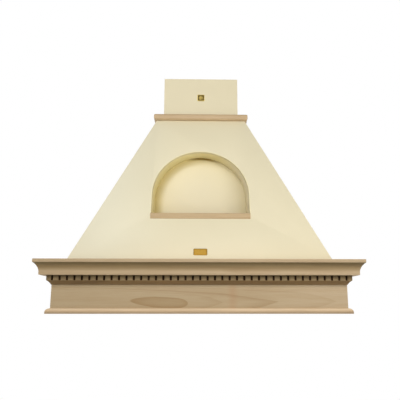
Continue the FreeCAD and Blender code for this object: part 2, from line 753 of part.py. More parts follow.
def make_chimney():
    """Three boards of the chimney box and the steel bracket that ties it to the wall."""
    board = "Sheet.chimney_board"
    profile = [(f"-{board}", "Sheet.shell_top"), ("0", "Sheet.shell_top"),
               ("0", "Sheet.chimney_top"), (f"-{board}", "Sheet.chimney_top")]
    three_runs("chimney", profile, CHIMNEY_HALF, "Sheet.chimney_depth", "0", board)
    bracket = new_body("chimney_bracket")
    half = f"({CHIMNEY_HALF} - {board})"
    inner = f"({half} - Sheet.bracket_sheet)"
    flange, web = "-Sheet.bracket_flange", "-Sheet.bracket_sheet"
    points = [(f"-{half}", "0"), (f"-{half}", flange), (f"-{inner}", flange), (f"-{inner}", web),
              (inner, web), (inner, flange), (half, flange), (half, "0")]
    sketch = outline(new_sketch(bracket, "XY_Plane", "Sheet.bracket_level"), points)
    pad(bracket, sketch, "Sheet.bracket_height")
    level = "Sheet.bracket_level + Sheet.bracket_height / 2"
    centres = [(f"{sign}Sheet.bracket_hole_spacing / 2", level) for sign in ("-", "")]
    drill(bracket, "XZ_Plane", centres, "Sheet.bracket_hole_radius", "Sheet.bracket_sheet", reverse=True)
    keep(bracket)


def rounded_plate(label, width, height, corner, thickness):
    """A thin plate with round corners, drawn in its own upright plane and centred there."""
    body = new_body(label)
    half_w, half_h = f"({width} / 2)", f"({height} / 2)"
    in_w, in_h = f"({half_w} - {corner})", f"({half_h} - {corner})"
    points = [
        (f"-{in_w}", f"-{half_h}"), (in_w, f"-{half_h}", corner, -1), (half_w, f"-{in_h}"),
        (half_w, in_h, corner, -1), (in_w, half_h), (f"-{in_w}", half_h, corner, -1),
        (f"-{half_w}", in_h), (f"-{half_w}", f"-{in_h}", corner, -1),
    ]
    pad(body, outline(new_sketch(body, "XZ_Plane"), points), thickness)
    return body


def make_brass():
    """The plate at the panel's foot, lying on the leaning face, and the badge on the chimney."""
    plate = rounded_plate("brass_plate", "Sheet.plate_width", "Sheet.plate_height",
                          "Sheet.plate_corner", "Sheet.plate_thickness")
    plate.setExpression("Placement.Base.y", f"-{shell_front_at('Sheet.plate_level')}")
    plate.setExpression("Placement.Base.z", "Sheet.plate_level")
    plate.setExpression("Placement.Rotation.Angle", f"atan({FRONT_LEAN})")
    plate.Placement.Rotation.Axis = FreeCAD.Vector(-1, 0, 0)
    badge = rounded_plate("chimney_badge", "Sheet.badge_width", "Sheet.badge_height",
                          "Sheet.badge_corner", "Sheet.badge_thickness")
    badge.setExpression("Placement.Base.y", "-Sheet.chimney_depth")
    badge.setExpression("Placement.Base.z", "Sheet.badge_level")
    doc.recompute()
    keep(plate)
    keep(badge)


# ---------------------------------------------------------------- underside plate
def screw_places():
    """Centres of the screws that hold the underside plate: along the ledgers."""
    last = (FRONT_SCREW_COUNT - 1) / 2
    front = f"-({INNER_FRONT} - Sheet.ledger / 2)"
    side = f"({INNER_HALF} - Sheet.ledger / 2)"
    back = "-(Sheet.back_rail_board + Sheet.ledger / 2)"
    places = [(f"{index - last} * Sheet.screw_pitch", front) for index in range(FRONT_SCREW_COUNT)]
    places += [(f"{sign}{side}", "-Sheet.screw_pitch") for sign in ("-", "")]
    places += [(f"{sign}{last} * Sheet.screw_pitch", back) for sign in ("-", "")]
    return places


def make_ledgers():
    """Battens inside the frame that the underside plate is screwed to."""
    z0, z1 = PLATE_TOP, f"{PLATE_TOP} + Sheet.ledger"
    front = f"-({INNER_FRONT} - Sheet.ledger)"
    back = "-(Sheet.back_rail_board + Sheet.ledger)"
    members = [box_part("ledger_front", f"-{INNER_HALF}", INNER_HALF, f"-{INNER_FRONT}", front, z0, z1)]
    for sign, name in (("-", "left"), ("", "right")):
        inner = f"({INNER_HALF} - Sheet.ledger)"
        low, high = (f"-{INNER_HALF}", f"-{inner}") if sign else (inner, INNER_HALF)
        members.append(box_part(f"ledger_{name}", low, high, front, "-Sheet.back_rail_board", z0, z1))
        far = f"({BOX_HALF} + Sheet.ledger_back_gap)"
        low, high = (f"-{inner}", f"-{far}") if sign else (far, inner)
        members.append(box_part(f"ledger_back_{name}", low, high, back, "-Sheet.back_rail_board", z0, z1))
    keep(group("plate_ledgers", members))


def make_underside_plate():
    """One sheet across the frame, with lugs for the filters and holes for what it carries."""
    body = new_body("underside_plate")
    gap = "Sheet.fit_gap"
    half = f"({INNER_HALF} - {gap})"
    sketch = rectangle(new_sketch(body, "XY_Plane", "Sheet.plate_recess"), f"-{half}", half,
                       f"-({INNER_FRONT} - {gap})", f"-(Sheet.back_rail_board + {gap})")
    pad(body, sketch, "Sheet.sheet")
    open_half = f"({FILTER_HALF} + Sheet.filter_side_gap)"
    open_back = "(Sheet.filter_pivot_back - Sheet.filter_thickness / 2 - Sheet.filter_side_gap)"
    open_front = f"({FILTER_FRONT} + Sheet.filter_side_gap)"
    sketch = new_sketch(body, "XY_Plane", "Sheet.plate_recess")
    for sign in ("-", ""):
        middle = f"{sign}{FILTER_MIDDLE}"
        rectangle(sketch, f"{middle} - {open_half}", f"{middle} + {open_half}",
                  f"-{open_front}", f"-{open_back}")
    neck_x = "(Sheet.bezel_width / 2 - Sheet.neck_wall)"
    neck_y = "(Sheet.bezel_depth / 2 - Sheet.neck_wall)"
    rectangle(sketch, f"{PANEL_MIDDLE} - {neck_x} - {gap}", f"{PANEL_MIDDLE} + {neck_x} + {gap}",
              f"-{CONTROL_BACK} - {neck_y} - {gap}", f"-{CONTROL_BACK} + {neck_y} + {gap}")
    pocket(body, sketch, "Sheet.sheet", reverse=True)
    lamps = [(f"{sign}{PANEL_MIDDLE}", "-Sheet.lamp_back") for sign in ("-", "")]
    level = "Sheet.plate_recess"
    drill(body, "XY_Plane", lamps, f"Sheet.lamp_cup_radius + {gap}", "Sheet.sheet", level, reverse=True)
    drill(body, "XY_Plane", screw_places(), "Sheet.screw_hole_radius", "Sheet.sheet", level, reverse=True)
    lug_foot = f"({FILTER_AXIS} - Sheet.filter_thickness / 2)"
    sketch = new_sketch(body, "XY_Plane", lug_foot)
    for sign in ("-", ""):
        for side in ("-", "+"):
            near = f"{sign}{FILTER_MIDDLE} {side} {open_half}"
            far = f"{sign}{FILTER_MIDDLE} {side} ({open_half} + Sheet.lug_thickness)"
            low, high = (far, near) if side == "-" else (near, far)
            rectangle(sketch, low, high, "-(Sheet.filter_pivot_back + Sheet.lug_width / 2)",
                      "-(Sheet.filter_pivot_back - Sheet.lug_width / 2)")
    pad(body, sketch, f"Sheet.plate_recess - {lug_foot}")
    holes = [("-Sheet.filter_pivot_back", FILTER_AXIS)]
    drill(body, "YZ_Plane", holes, "Sheet.filter_pin_radius + Sheet.running_gap",
          f"2 * {INNER_HALF}", side="both")
    keep(body)


def make_plate_screws():
    """The screws up through the underside plate into the ledgers."""
    screws = []
    for index, (x, y) in enumerate(screw_places(), start=1):
        body = new_body(f"plate_screw_{index}")
        sketch = circle(new_sketch(body, "XY_Plane", "Sheet.plate_recess - Sheet.screw_head"),
                        x, y, "Sheet.screw_head_radius")
        pad(body, sketch, "Sheet.screw_head")
        sketch = new_sketch(body, "XY_Plane", "Sheet.plate_recess")
        pad(body, circle(sketch, x, y, "Sheet.screw_shank_radius"), "Sheet.screw_length")
        screws.append(body)
    keep(group("plate_screws", screws))


def make_filters():
    """Two cassettes with a rounded, pinned back edge and a grip below the front edge."""
    half = "(Sheet.filter_thickness / 2)"
    pivot = "Sheet.filter_pivot_back"
    front = FILTER_FRONT
    for label, sign in (("filter_left", "-"), ("filter_right", "")):
        body = new_body(label)
        middle = f"{sign}{FILTER_MIDDLE}"
        sketch = new_sketch(body, "YZ_Plane", f"{middle} - {FILTER_HALF}")
        foot, head = f"({FILTER_AXIS} - {half})", f"({FILTER_AXIS} + {half})"
        points = [(f"-{front}", foot), (f"-{pivot}", foot, half, -1),
                  (f"(-{pivot} + {half})", FILTER_AXIS, half, -1), (f"-{pivot}", head), (f"-{front}", head)]
        pad(body, outline(sketch, points), "Sheet.filter_width")
        in_half = f"({FILTER_HALF} - Sheet.filter_rim)"
        for level, reverse in ((foot, True), (head, False)):
            sketch = rectangle(new_sketch(body, "XY_Plane", level), f"{middle} - {in_half}",
                               f"{middle} + {in_half}", f"-({front} - Sheet.filter_rim)",
                               f"-({pivot} + Sheet.filter_rim)")
            pocket(body, sketch, "Sheet.filter_recess", reverse=reverse)
        reach = "(Sheet.filter_width + 2 * (Sheet.filter_side_gap + Sheet.lug_thickness))"
        sketch = circle(new_sketch(body, "YZ_Plane", f"{middle} - {reach} / 2"),
                        f"-{pivot}", FILTER_AXIS, "Sheet.filter_pin_radius")
        pad(body, sketch, reach)
        grip_back = f"({front} - Sheet.grip_depth)"
        sketch = rectangle(new_sketch(body, "XY_Plane", f"{foot} - Sheet.grip_drop"),
                           f"{middle} - Sheet.grip_width / 2", f"{middle} + Sheet.grip_width / 2",
                           f"-{front}", f"-{grip_back}")
        pad(body, sketch, "Sheet.grip_drop")
        keep(body)


# ---------------------------------------------------------------- motor box, blower and outlet
def make_motor_box():
    """A sheet box, open below over the filters, with holes for the outlet and the gland."""
    body = new_body("motor_box")
    sketch = rectangle(new_sketch(body, "XY_Plane", PLATE_TOP), f"-{BOX_HALF}", BOX_HALF,
                       f"-{BOX_FRONT}", "-Sheet.box_back")
    pad(body, sketch, f"Sheet.box_top - {PLATE_TOP}")
    wall = "Sheet.sheet"
    inside = f"({BOX_HALF} - {wall})"
    sketch = rectangle(new_sketch(body, "XY_Plane", PLATE_TOP), f"-{inside}", inside,
                       f"-({BOX_FRONT} - {wall})", f"-(Sheet.box_back + {wall})")
    pocket(body, sketch, f"{BOX_CEILING} - {PLATE_TOP}", reverse=True)
    through = f"{wall} + {OVERCUT}"
    drill(body, "XY_Plane", [("0", "-Sheet.duct_back")], DUCT_BORE, through, "Sheet.box_top")
    drill(body, "XY_Plane", [("-Sheet.gland_side", "-Sheet.gland_back")],
          "Sheet.gland_radius + Sheet.fit_gap", through, "Sheet.box_top")
    keep(body)


def scroll_outline(offset):
    """The blower case seen along the shaft: three growing quarter arcs and an upright outlet."""
    fan_y, fan_z = "(-Sheet.fan_back)", "Sheet.fan_height"
    r1 = f"(Sheet.scroll_radius + {offset})"
    r2 = f"(Sheet.scroll_radius + Sheet.scroll_step + {offset})"
    r3 = f"(Sheet.scroll_radius + 2 * Sheet.scroll_step + {offset})"
    tongue = f"(Sheet.scroll_tongue - {offset})"
    rise = f"sqrt({r1} ^ 2 - {tongue} ^ 2)"
    shift_y = f"({fan_y} + Sheet.scroll_step)"
    shift_z = f"({fan_z} + Sheet.scroll_step)"
    return [
        (f"({fan_y} + {tongue})", BOX_CEILING),
        (f"({fan_y} + {tongue})", f"({fan_z} + {rise})", r1, 1),
        (f"({fan_y} - {r1})", fan_z, r2, 1),
        (shift_y, f"({fan_z} - {r2})", r3, 1),
        (f"({shift_y} + {r3})", shift_z),
        (f"({shift_y} + {r3})", BOX_CEILING),
    ]


def make_scroll_case():
    """The blower case: a spiral wrapper with two side walls, open above and at one side."""
    body = new_body("scroll_case")
    pad(body, outline(new_sketch(body, "YZ_Plane"), mirrored(scroll_outline("Sheet.sheet"))),
        f"2 * {CASE_HALF}", "both")
    pocket(body, outline(new_sketch(body, "YZ_Plane"), mirrored(scroll_outline("0"))),
           "Sheet.scroll_width", "both")
    centre = [("-Sheet.fan_back", "Sheet.fan_height")]
    drill(body, "YZ_Plane", centre, "Sheet.inlet_radius", f"{CASE_HALF} + {OVERCUT}", reverse=True)
    drill(body, "YZ_Plane", centre, "Sheet.shaft_hole_radius", f"{CASE_HALF} + {OVERCUT}")
    keep(body)


def make_fan_motor():
    """The motor on the closed side of the case, with its shaft reaching the impeller's hub."""
    body = new_body("fan_motor")
    flange_end = f"({CASE_HALF} + Sheet.motor_flange)"
    steps = (
        (f"-{flange_end}", "Sheet.motor_flange_radius", "Sheet.motor_flange"),
        (f"-({flange_end} + Sheet.motor_length)", "Sheet.motor_radius", "Sheet.motor_length"),
        (f"-{CASE_HALF}", "Sheet.shaft_radius", "Sheet.shaft_length"),
    )
    for level, radius, length in steps:
        sketch = circle(new_sketch(body, "YZ_Plane", level), "-Sheet.fan_back", "Sheet.fan_height", radius)
        pad(body, sketch, length)
    keep(body)


def make_impeller():
    """A squirrel-cage wheel: hub and disc at the motor end, blades, and an end ring."""
    body = new_body("impeller")
    disc = "(-Sheet.impeller_length / 2)"
    sketch = circle(new_sketch(body, "YZ_Plane", disc), "0", "0", "Sheet.impeller_radius")
    pad(body, sketch, "Sheet.impeller_disc")
    sketch = circle(new_sketch(body, "YZ_Plane", disc), "0", "0", "Sheet.hub_radius")
    pad(body, sketch, "Sheet.hub_length")
    inner = "(Sheet.impeller_radius - Sheet.blade_depth)"
    tip = "Sheet.impeller_radius - Sheet.blade_set_in"
    sketch = rectangle(new_sketch(body, "YZ_Plane", f"{disc} + Sheet.impeller_disc / 2"), inner, tip,
                       "-Sheet.blade_thickness / 2", "Sheet.blade_thickness / 2")
    blade = pad(body, sketch, "Sheet.impeller_length - 2 * Sheet.impeller_disc")
    wheel = body.newObject("PartDesign::PolarPattern", "impeller_blades")
    wheel.Originals = [blade]
    wheel.Axis = (sketch, ["N_Axis"])
    wheel.Angle = 360
    wheel.Occurrences = BLADE_COUNT
    body.Tip = wheel
    doc.recompute()
    sketch = new_sketch(body, "YZ_Plane", "(Sheet.impeller_length / 2 - 2 * Sheet.impeller_disc)")
    circle(sketch, "0", "0", "Sheet.impeller_radius")
    circle(sketch, "0", "0", f"{inner} - Sheet.blade_set_in")
    pad(body, sketch, "2 * Sheet.impeller_disc")
    drill(body, "YZ_Plane", [("0", "0")], "Sheet.shaft_radius + Sheet.running_gap",
          f"Sheet.impeller_length + 2 * {OVERCUT}", side="both")
    body.setExpression("Placement.Base.y", "-Sheet.fan_back")
    body.setExpression("Placement.Base.z", "Sheet.fan_height")
    keep(body)


def make_outlet():
    """The flanged spigot, the pin across it and two half-round non-return flaps."""
    body = new_body("outlet_spigot")
    sketch = new_sketch(body, "XY_Plane", "Sheet.box_top")
    circle(sketch, "0", "-Sheet.duct_back", "Sheet.duct_radius + Sheet.spigot_flange")
    pad(body, sketch, "Sheet.sheet")
    sketch = new_sketch(body, "XY_Plane", "Sheet.box_top")
    circle(sketch, "0", "-Sheet.duct_back", "Sheet.duct_radius")
    pad(body, sketch, "Sheet.spigot_height")
    drill(body, "XY_Plane", [("0", "-Sheet.duct_back")], DUCT_BORE, "Sheet.spigot_height",
          "Sheet.box_top", reverse=True)
    drill(body, "YZ_Plane", [("-Sheet.duct_back", FLAP_AXIS)], "Sheet.damper_pin_radius",
          f"2 * (Sheet.duct_radius + {OVERCUT})", side="both")
    keep(body)
    pin = new_body("damper_pin")
    sketch = circle(new_sketch(pin, "YZ_Plane"), "-Sheet.duct_back", FLAP_AXIS, "Sheet.damper_pin_radius")
    pad(pin, sketch, "2 * Sheet.duct_radius", "both")
    keep(pin)
    for label, sign, own in (("damper_flap_front", "-", 0), ("damper_flap_rear", "", 1)):
        keep(damper_flap(label, sign, own))


def damper_flap(label, sign, own):
    """Half a disc beside the pin, with two knuckles round it; the other flap has the gaps."""
    body = new_body(label)
    low = "(-Sheet.flap_thickness / 2)"
    radius = f"({DUCT_BORE} - Sheet.flap_gap)"
    edge = "(Sheet.flap_knuckle_radius + Sheet.flap_gap)"
    reach = f"sqrt({radius} ^ 2 - {edge} ^ 2)"
    bulge = -1 if sign == "" else 1
    half_disc = [(f"-{reach}", f"{sign}{edge}"), (reach, f"{sign}{edge}", radius, bulge),
                 ("0", f"{sign}{radius}", radius, bulge)]
    pad(body, outline(new_sketch(body, "XY_Plane", low), half_disc), "Sheet.flap_thickness")
    pitch = f"(({DUCT_BORE} - 2 * Sheet.flap_gap) / {KNUCKLES_EACH})"
    length = f"({pitch} - Sheet.flap_gap)"
    for slot in range(own - KNUCKLES_EACH, KNUCKLES_EACH, 2):
        start = f"({slot} * {pitch} + Sheet.flap_gap / 2)"
        sketch = rectangle(new_sketch(body, "XY_Plane", low), start, f"{start} + {length}",
                           f"{sign}({edge} + {OVERCUT})", "0")
        pad(body, sketch, "Sheet.flap_thickness")
        sketch = circle(new_sketch(body, "YZ_Plane", start), "0", "0", "Sheet.flap_knuckle_radius")
        pad(body, sketch, length)
    drill(body, "YZ_Plane", [("0", "0")], "Sheet.damper_pin_radius + Sheet.running_gap",
          "2 * Sheet.duct_radius", side="both")
    body.setExpression("Placement.Base.y", "-Sheet.duct_back")
    body.setExpression("Placement.Base.z", FLAP_AXIS)
    return body


# ---------------------------------------------------------------- lamps, controls, gland
def make_lamps():
    """Recessed lamp rings and their glass lenses, one pair each side."""
    rings, lenses = [], []
    for sign, name in (("-", "left"), ("", "right")):
        x, y = f"{sign}{PANEL_MIDDLE}", "-Sheet.lamp_back"
        body = new_body(f"lamp_ring_{name}")
        foot = "Sheet.plate_recess - Sheet.lamp_wall"
        pad(body, circle(new_sketch(body, "XY_Plane", foot), x, y, "Sheet.lamp_radius"), "Sheet.lamp_wall")
        pad(body, circle(new_sketch(body, "XY_Plane", "Sheet.plate_recess"), x, y, "Sheet.lamp_cup_radius"),
            "Sheet.lamp_cup_height")
        drill(body, "XY_Plane", [(x, y)], "Sheet.lens_radius",
              "Sheet.lamp_cup_height", foot, reverse=True)
        rings.append(body)
        lens = new_body(f"lamp_lens_{name}")
        sketch = circle(new_sketch(lens, "XY_Plane", foot), x, y, "Sheet.lens_radius")
        pad(lens, sketch, "Sheet.lens_thickness")
        lenses.append(lens)
    keep(group("lamp_rings", rings))
    keep(group("lamp_lenses", lenses))


def button_centres():
    """Centres of the buttons in a row along the bezel."""
    middle = (BUTTON_COUNT - 1) / 2
    steps = [index - middle for index in range(BUTTON_COUNT)]
    return [f"({PANEL_MIDDLE} + {step} * Sheet.button_pitch)" for step in steps]


def make_controls():
    """Bezel with stepped square holes, the five buttons and the switch block above them."""
    body = new_body("control_bezel")
    half_x, half_y = "(Sheet.bezel_width / 2)", "(Sheet.bezel_depth / 2)"
    mid_x, mid_y = PANEL_MIDDLE, f"(-{CONTROL_BACK})"
    sketch = rectangle(new_sketch(body, "XY_Plane", CONTROL_FOOT), f"{mid_x} - {half_x}",
                       f"{mid_x} + {half_x}", f"{mid_y} - {half_y}", f"{mid_y} + {half_y}")
    pad(body, sketch, "Sheet.bezel_thickness")
    neck_x, neck_y = f"({half_x} - Sheet.neck_wall)", f"({half_y} - Sheet.neck_wall)"
    sketch = rectangle(new_sketch(body, "XY_Plane", "Sheet.plate_recess"), f"{mid_x} - {neck_x}",
                       f"{mid_x} + {neck_x}", f"{mid_y} - {neck_y}", f"{mid_y} + {neck_y}")
    pad(body, sketch, "Sheet.control_height")
    hole = "(Sheet.button_side / 2 + Sheet.fit_gap)"
    wide = f"({hole} + Sheet.button_flange)"
    step = f"({CONTROL_FOOT} + Sheet.button_flange_height + Sheet.button_travel)"
    for reach, level, height in ((hole, CONTROL_FOOT, f"{CONTROL_TOP} - {CONTROL_FOOT}"),
                                 (wide, step, f"{CONTROL_TOP} - {step}")):
        sketch = new_sketch(body, "XY_Plane", level)
        for x in button_centres():
            rectangle(sketch, f"{x} - {reach}", f"{x} + {reach}", f"{mid_y} - {reach}", f"{mid_y} + {reach}")
        pocket(body, sketch, height, reverse=True)
    keep(body)
    keep(box_part("switch_block", f"{mid_x} - {neck_x}", f"{mid_x} + {neck_x}", f"{mid_y} - {neck_y}",
                  f"{mid_y} + {neck_y}", CONTROL_TOP, f"{CONTROL_TOP} + Sheet.switch_height"))
    for index, x in enumerate(button_centres(), start=1):
        button = new_body(f"button_{index}")
        half = "(Sheet.button_side / 2)"
        flange = f"({half} + Sheet.button_flange)"
        foot = f"({CONTROL_FOOT} - Sheet.button_proud)"
        seat = f"({step} + Sheet.fit_gap)"
        sketch = rectangle(new_sketch(button, "XY_Plane", foot), f"{x} - {half}", f"{x} + {half}",
                           f"{mid_y} - {half}", f"{mid_y} + {half}")
        pad(button, sketch, f"{seat} - {foot}")
        sketch = rectangle(new_sketch(button, "XY_Plane", seat), f"{x} - {flange}", f"{x} + {flange}",
                           f"{mid_y} - {flange}", f"{mid_y} + {flange}")
        pad(button, sketch, "Sheet.button_flange_height")
        keep(button)


def make_gland():
    """The gland in the motor box's top that a mains lead enters by."""
    body = new_body("cable_gland")
    x, y = "-Sheet.gland_side", "-Sheet.gland_back"
    foot = "(Sheet.box_top + Sheet.gland_head - Sheet.gland_length)"
    pad(body, circle(new_sketch(body, "XY_Plane", foot), x, y, "Sheet.gland_radius"),
        "Sheet.gland_length - Sheet.gland_head")
    pad(body, circle(new_sketch(body, "XY_Plane", "Sheet.box_top"), x, y, "Sheet.gland_head_radius"),
        "Sheet.gland_head")
    drill(body, "XY_Plane", [(x, y)], "Sheet.gland_bore_radius", "Sheet.gland_length", foot, reverse=True)
    keep(body)


# ---------------------------------------------------------------- build, check, write
def check(thing):
    """Stop if an object of the document failed or a shape is unusable."""
    if "Invalid" in thing.State or "Error" in thing.State:
        raise RuntimeError(f"{thing.Label} is in state {thing.State}")


def main():
    make_frieze()
    make_crown()
    make_base_moulding()
    make_dentils()
    make_back_rail()
    make_decks()
    make_corner_blocks()
    make_shell()
    make_wall_battens()
    make_neck_rails()
    make_niche()
    make_collar()
    make_chimney()
    make_brass()
    make_ledgers()
    make_underside_plate()
    make_plate_screws()
    make_filters()
    make_motor_box()
    make_scroll_case()
    make_fan_motor()
    make_impeller()
    make_outlet()
    make_lamps()
    make_controls()
    make_gland()
    doc.recompute()
    for thing in doc.Objects:
        check(thing)
    for part in parts:
        if part.Shape.isNull() or not part.Shape.isValid():
            raise RuntimeError(f"{part.Label} has no valid shape")
    os.makedirs("parts", exist_ok=True)
    for part in parts:
        part.Shape.exportStep(f"parts/{part.Label}.step")
        box = part.Shape.BoundBox
        spans = ((box.XMin, box.XMax), (box.YMin, box.YMax), (box.ZMin, box.ZMax))
        places = " ".join(f"{low:.1f}..{high:.1f}" for low, high in spans)
        count = len(part.Shape.Solids)
        print(f"{part.Label:24s} solids {count} volume {part.Shape.Volume:.0f} box {places}")
    print(len(parts), "sub-parts")


main()
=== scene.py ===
"""Looks of a wall-hung wooden range hood, piece by piece in the order it is put together."""

import json
import math

import bpy
from mathutils import Matrix, Vector

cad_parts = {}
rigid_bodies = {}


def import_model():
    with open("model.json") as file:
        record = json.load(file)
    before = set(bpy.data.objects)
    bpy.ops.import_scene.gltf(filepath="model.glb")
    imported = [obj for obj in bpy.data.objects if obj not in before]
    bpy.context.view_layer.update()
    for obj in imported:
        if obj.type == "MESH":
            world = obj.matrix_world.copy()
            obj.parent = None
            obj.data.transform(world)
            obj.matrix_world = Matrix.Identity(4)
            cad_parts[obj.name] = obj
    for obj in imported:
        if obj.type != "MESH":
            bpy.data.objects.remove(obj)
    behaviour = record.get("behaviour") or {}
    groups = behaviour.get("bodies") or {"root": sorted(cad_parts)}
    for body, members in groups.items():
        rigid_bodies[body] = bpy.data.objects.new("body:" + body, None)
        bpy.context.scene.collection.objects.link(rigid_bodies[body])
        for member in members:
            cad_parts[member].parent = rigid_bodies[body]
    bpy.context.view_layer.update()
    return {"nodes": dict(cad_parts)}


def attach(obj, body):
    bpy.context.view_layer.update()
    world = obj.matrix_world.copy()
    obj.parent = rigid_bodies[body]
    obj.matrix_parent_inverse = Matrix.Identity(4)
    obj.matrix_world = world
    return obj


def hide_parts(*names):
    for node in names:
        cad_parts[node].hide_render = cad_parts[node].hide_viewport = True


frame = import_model()

# ------------------------------------------------------------------ camera
# The hood is photographed from a little below its lower edge, from almost straight in front,
# with a normal lens tilted upwards.
CAMERA_PLACE = (-0.0046, -2.320, 0.0126)
CAMERA_TILT_UP = math.radians(12.3)
CAMERA_TURN_RIGHT = math.radians(1.29)
FILM_WIDTH_MM = 36.0
FRAME_PIXELS = 400
FOCAL_PIXELS = 505.7
CENTRE_OFFSET_PIXELS = 10.5
VIEW_DEPTH = 100

camera_data = bpy.data.cameras.new("photo_camera")
camera_data.sensor_width = FILM_WIDTH_MM
camera_data.lens = FOCAL_PIXELS * FILM_WIDTH_MM / FRAME_PIXELS
camera_data.shift_x = -CENTRE_OFFSET_PIXELS / FRAME_PIXELS
camera_data.clip_end = VIEW_DEPTH
camera = bpy.data.objects.new("photo_camera", camera_data)
camera.location = CAMERA_PLACE
camera.rotation_euler = (math.pi / 2 + CAMERA_TILT_UP, 0, -CAMERA_TURN_RIGHT)
bpy.context.scene.collection.objects.link(camera)
bpy.context.scene.camera = camera

# ------------------------------------------------------------------ studio
# A plain pale floor well below the hung hood and a white surround for the camera. A small soft
# lamp stands in front on the left, a broad one low on the right and a small one high up, with
# weak ones at the sides and behind.
FLOOR_LEVEL = -1.55
FLOOR_HALF = 14.0
FLOOR_SHADE, FLOOR_PALE, SPECK_SCALE = (0.60, 0.60, 0.59, 1), (0.64, 0.64, 0.63, 1), 3.0
SURROUND = (1.0, 0.985, 0.95, 1)
SURROUND_STRENGTH = 0.25
NEAR_SHARE, NEAR_RADIUS, FAR_RADIUS = 0.86, 2.0, 8.0


def add_node(tree, kind, inputs=None, **settings):
    """One shader node with its settings, and its inputs as values or as sockets to link."""
    made = tree.nodes.new("ShaderNode" + kind)
    for name, value in settings.items():
        setattr(made, name, value)
    for name, value in (inputs or {}).items():
        if isinstance(value, bpy.types.NodeSocket):
            tree.links.new(value, made.inputs[name])
        else:
            made.inputs[name].default_value = value
    return made


def own_place(tree):
    """A piece's own coordinates, which stay with it as it moves."""
    return add_node(tree, "TexCoord").outputs["Object"]


def seen_share(tree):
    """1 where the camera looks, straight, in a mirror or through glass, and 0 for other light."""
    rays = add_node(tree, "LightPath").outputs
    seen = rays["Is Camera Ray"]
    for kind in ("Is Glossy Ray", "Is Transmission Ray"):
        seen = add_node(tree, "Math", {0: seen, 1: rays[kind]}, use_clamp=True).outputs[0]
    return seen


world = bpy.data.worlds.new("studio")
bpy.context.scene.world = world
world.use_nodes = True
sky = world.node_tree
sky.nodes.clear()
dim = add_node(sky, "Background", {"Color": SURROUND, "Strength": SURROUND_STRENGTH})
white = add_node(sky, "Background", {"Color": (1, 1, 1, 1), "Strength": 1.0})
blend = add_node(sky, "MixShader", {0: seen_share(sky), 1: dim.outputs[0], 2: white.outputs[0]})
add_node(sky, "OutputWorld", {"Surface": blend.outputs[0]})

bpy.ops.object.select_all(action="DESELECT")
bpy.ops.mesh.primitive_plane_add(size=2 * FLOOR_HALF, location=(0, 0, FLOOR_LEVEL))
floor = bpy.context.active_object
floor.name = "studio_floor"
bpy.ops.object.transform_apply(location=True, rotation=True, scale=True)
pale = bpy.data.materials.new("pale_floor")
pale.use_nodes = True
tree = pale.node_tree
tree.nodes.clear()
place = own_place(tree)
speck = add_node(tree, "TexNoise", {"Vector": place, "Scale": SPECK_SCALE, "Detail": 3.0})
tint = add_node(tree, "ValToRGB", {"Fac": speck.outputs["Fac"]})
tint.color_ramp.elements[0].color = FLOOR_SHADE
tint.color_ramp.elements[1].color = FLOOR_PALE
matt = add_node(tree, "BsdfDiffuse", {"Color": tint.outputs[0]})
lift = add_node(tree, "Emission", {"Color": (1, 1, 1, 1), "Strength": 1.0})
flat = add_node(tree, "VectorMath", {0: place, 1: (1, 1, 0)}, operation="MULTIPLY").outputs[0]
radius = add_node(tree, "VectorMath", {0: flat}, operation="LENGTH").outputs["Value"]
whiten = add_node(tree, "MapRange", {"Value": radius, "From Min": NEAR_RADIUS, "From Max": FAR_RADIUS,
                                     "To Min": NEAR_SHARE, "To Max": 1.0}, interpolation_type="SMOOTHSTEP")
share = add_node(tree, "Math", {0: seen_share(tree), 1: whiten.outputs[0]}, operation="MULTIPLY")
both = add_node(tree, "MixShader", {0: share.outputs[0], 1: matt.outputs[0], 2: lift.outputs[0]})
add_node(tree, "OutputMaterial", {"Surface": both.outputs[0]})
floor.data.materials.append(pale)

# Each lamp has a side in metres, a power in watts, a tint and a place. Card flags keep the two
# front ones off the wooden base frame, and the high one off all the rest of the hood.
TARGET = Vector((0, -0.30, 0.45))
WARM_WHITE, COOL_WHITE = (1.0, 0.965, 0.90), (1.0, 0.99, 0.97)
lit_from_front = bpy.data.collections.new("lit_from_front")
lit_from_above = bpy.data.collections.new("lit_from_above")
for name, size, power, tint, spot, lit in (
    ("front_softbox", 1.0, 55.0, COOL_WHITE, (-0.70, -4.0, 1.55), lit_from_front),
    ("low_softbox", 2.3, 50.0, WARM_WHITE, (1.25, -3.6, 0.05), lit_from_front),
    ("high_softbox", 0.7, 108.0, COOL_WHITE, (0.95, -2.95, 2.55), lit_from_above),
    ("back_softbox", 2.4, 30.0, WARM_WHITE, (-1.0, 3.4, 1.9), None),
    ("left_softbox", 2.0, 26.0, COOL_WHITE, (-3.6, 0.7, 1.1), None),
    ("right_softbox", 2.0, 24.0, COOL_WHITE, (3.6, 0.7, 0.9), None),
):
    lamp = bpy.data.lights.new(name, "AREA")
    lamp.shape = "SQUARE"
    lamp.size = size
    lamp.energy = power
    lamp.color = tint
    holder = bpy.data.objects.new(name, lamp)
    holder.location = spot
    holder.rotation_euler = (TARGET - Vector(spot)).to_track_quat("-Z", "Y").to_euler()
    if lit:
        holder.light_linking.receiver_collection = lit
    bpy.context.scene.collection.objects.link(holder)
bpy.context.scene.view_settings.view_transform = "Standard"

# ------------------------------------------------------------------ frieze boards
# Three plain boards of unfinished pale hardwood, planed and sanded, mitred at the front
# corners. They carry every moulding of the base frame. The front board is flat sawn: its
# grain shows pointed arches and one dark eye.
PALE_WOOD = (0.560, 0.425, 0.262, 1)
DARK_WOOD = (0.395, 0.262, 0.132, 1)
FRIEZE_EASE = 0.0008
SHARP_ANGLE, FLAT_ANGLE = math.radians(30), math.radians(0.4)
MERGE_DISTANCE = 0.00001


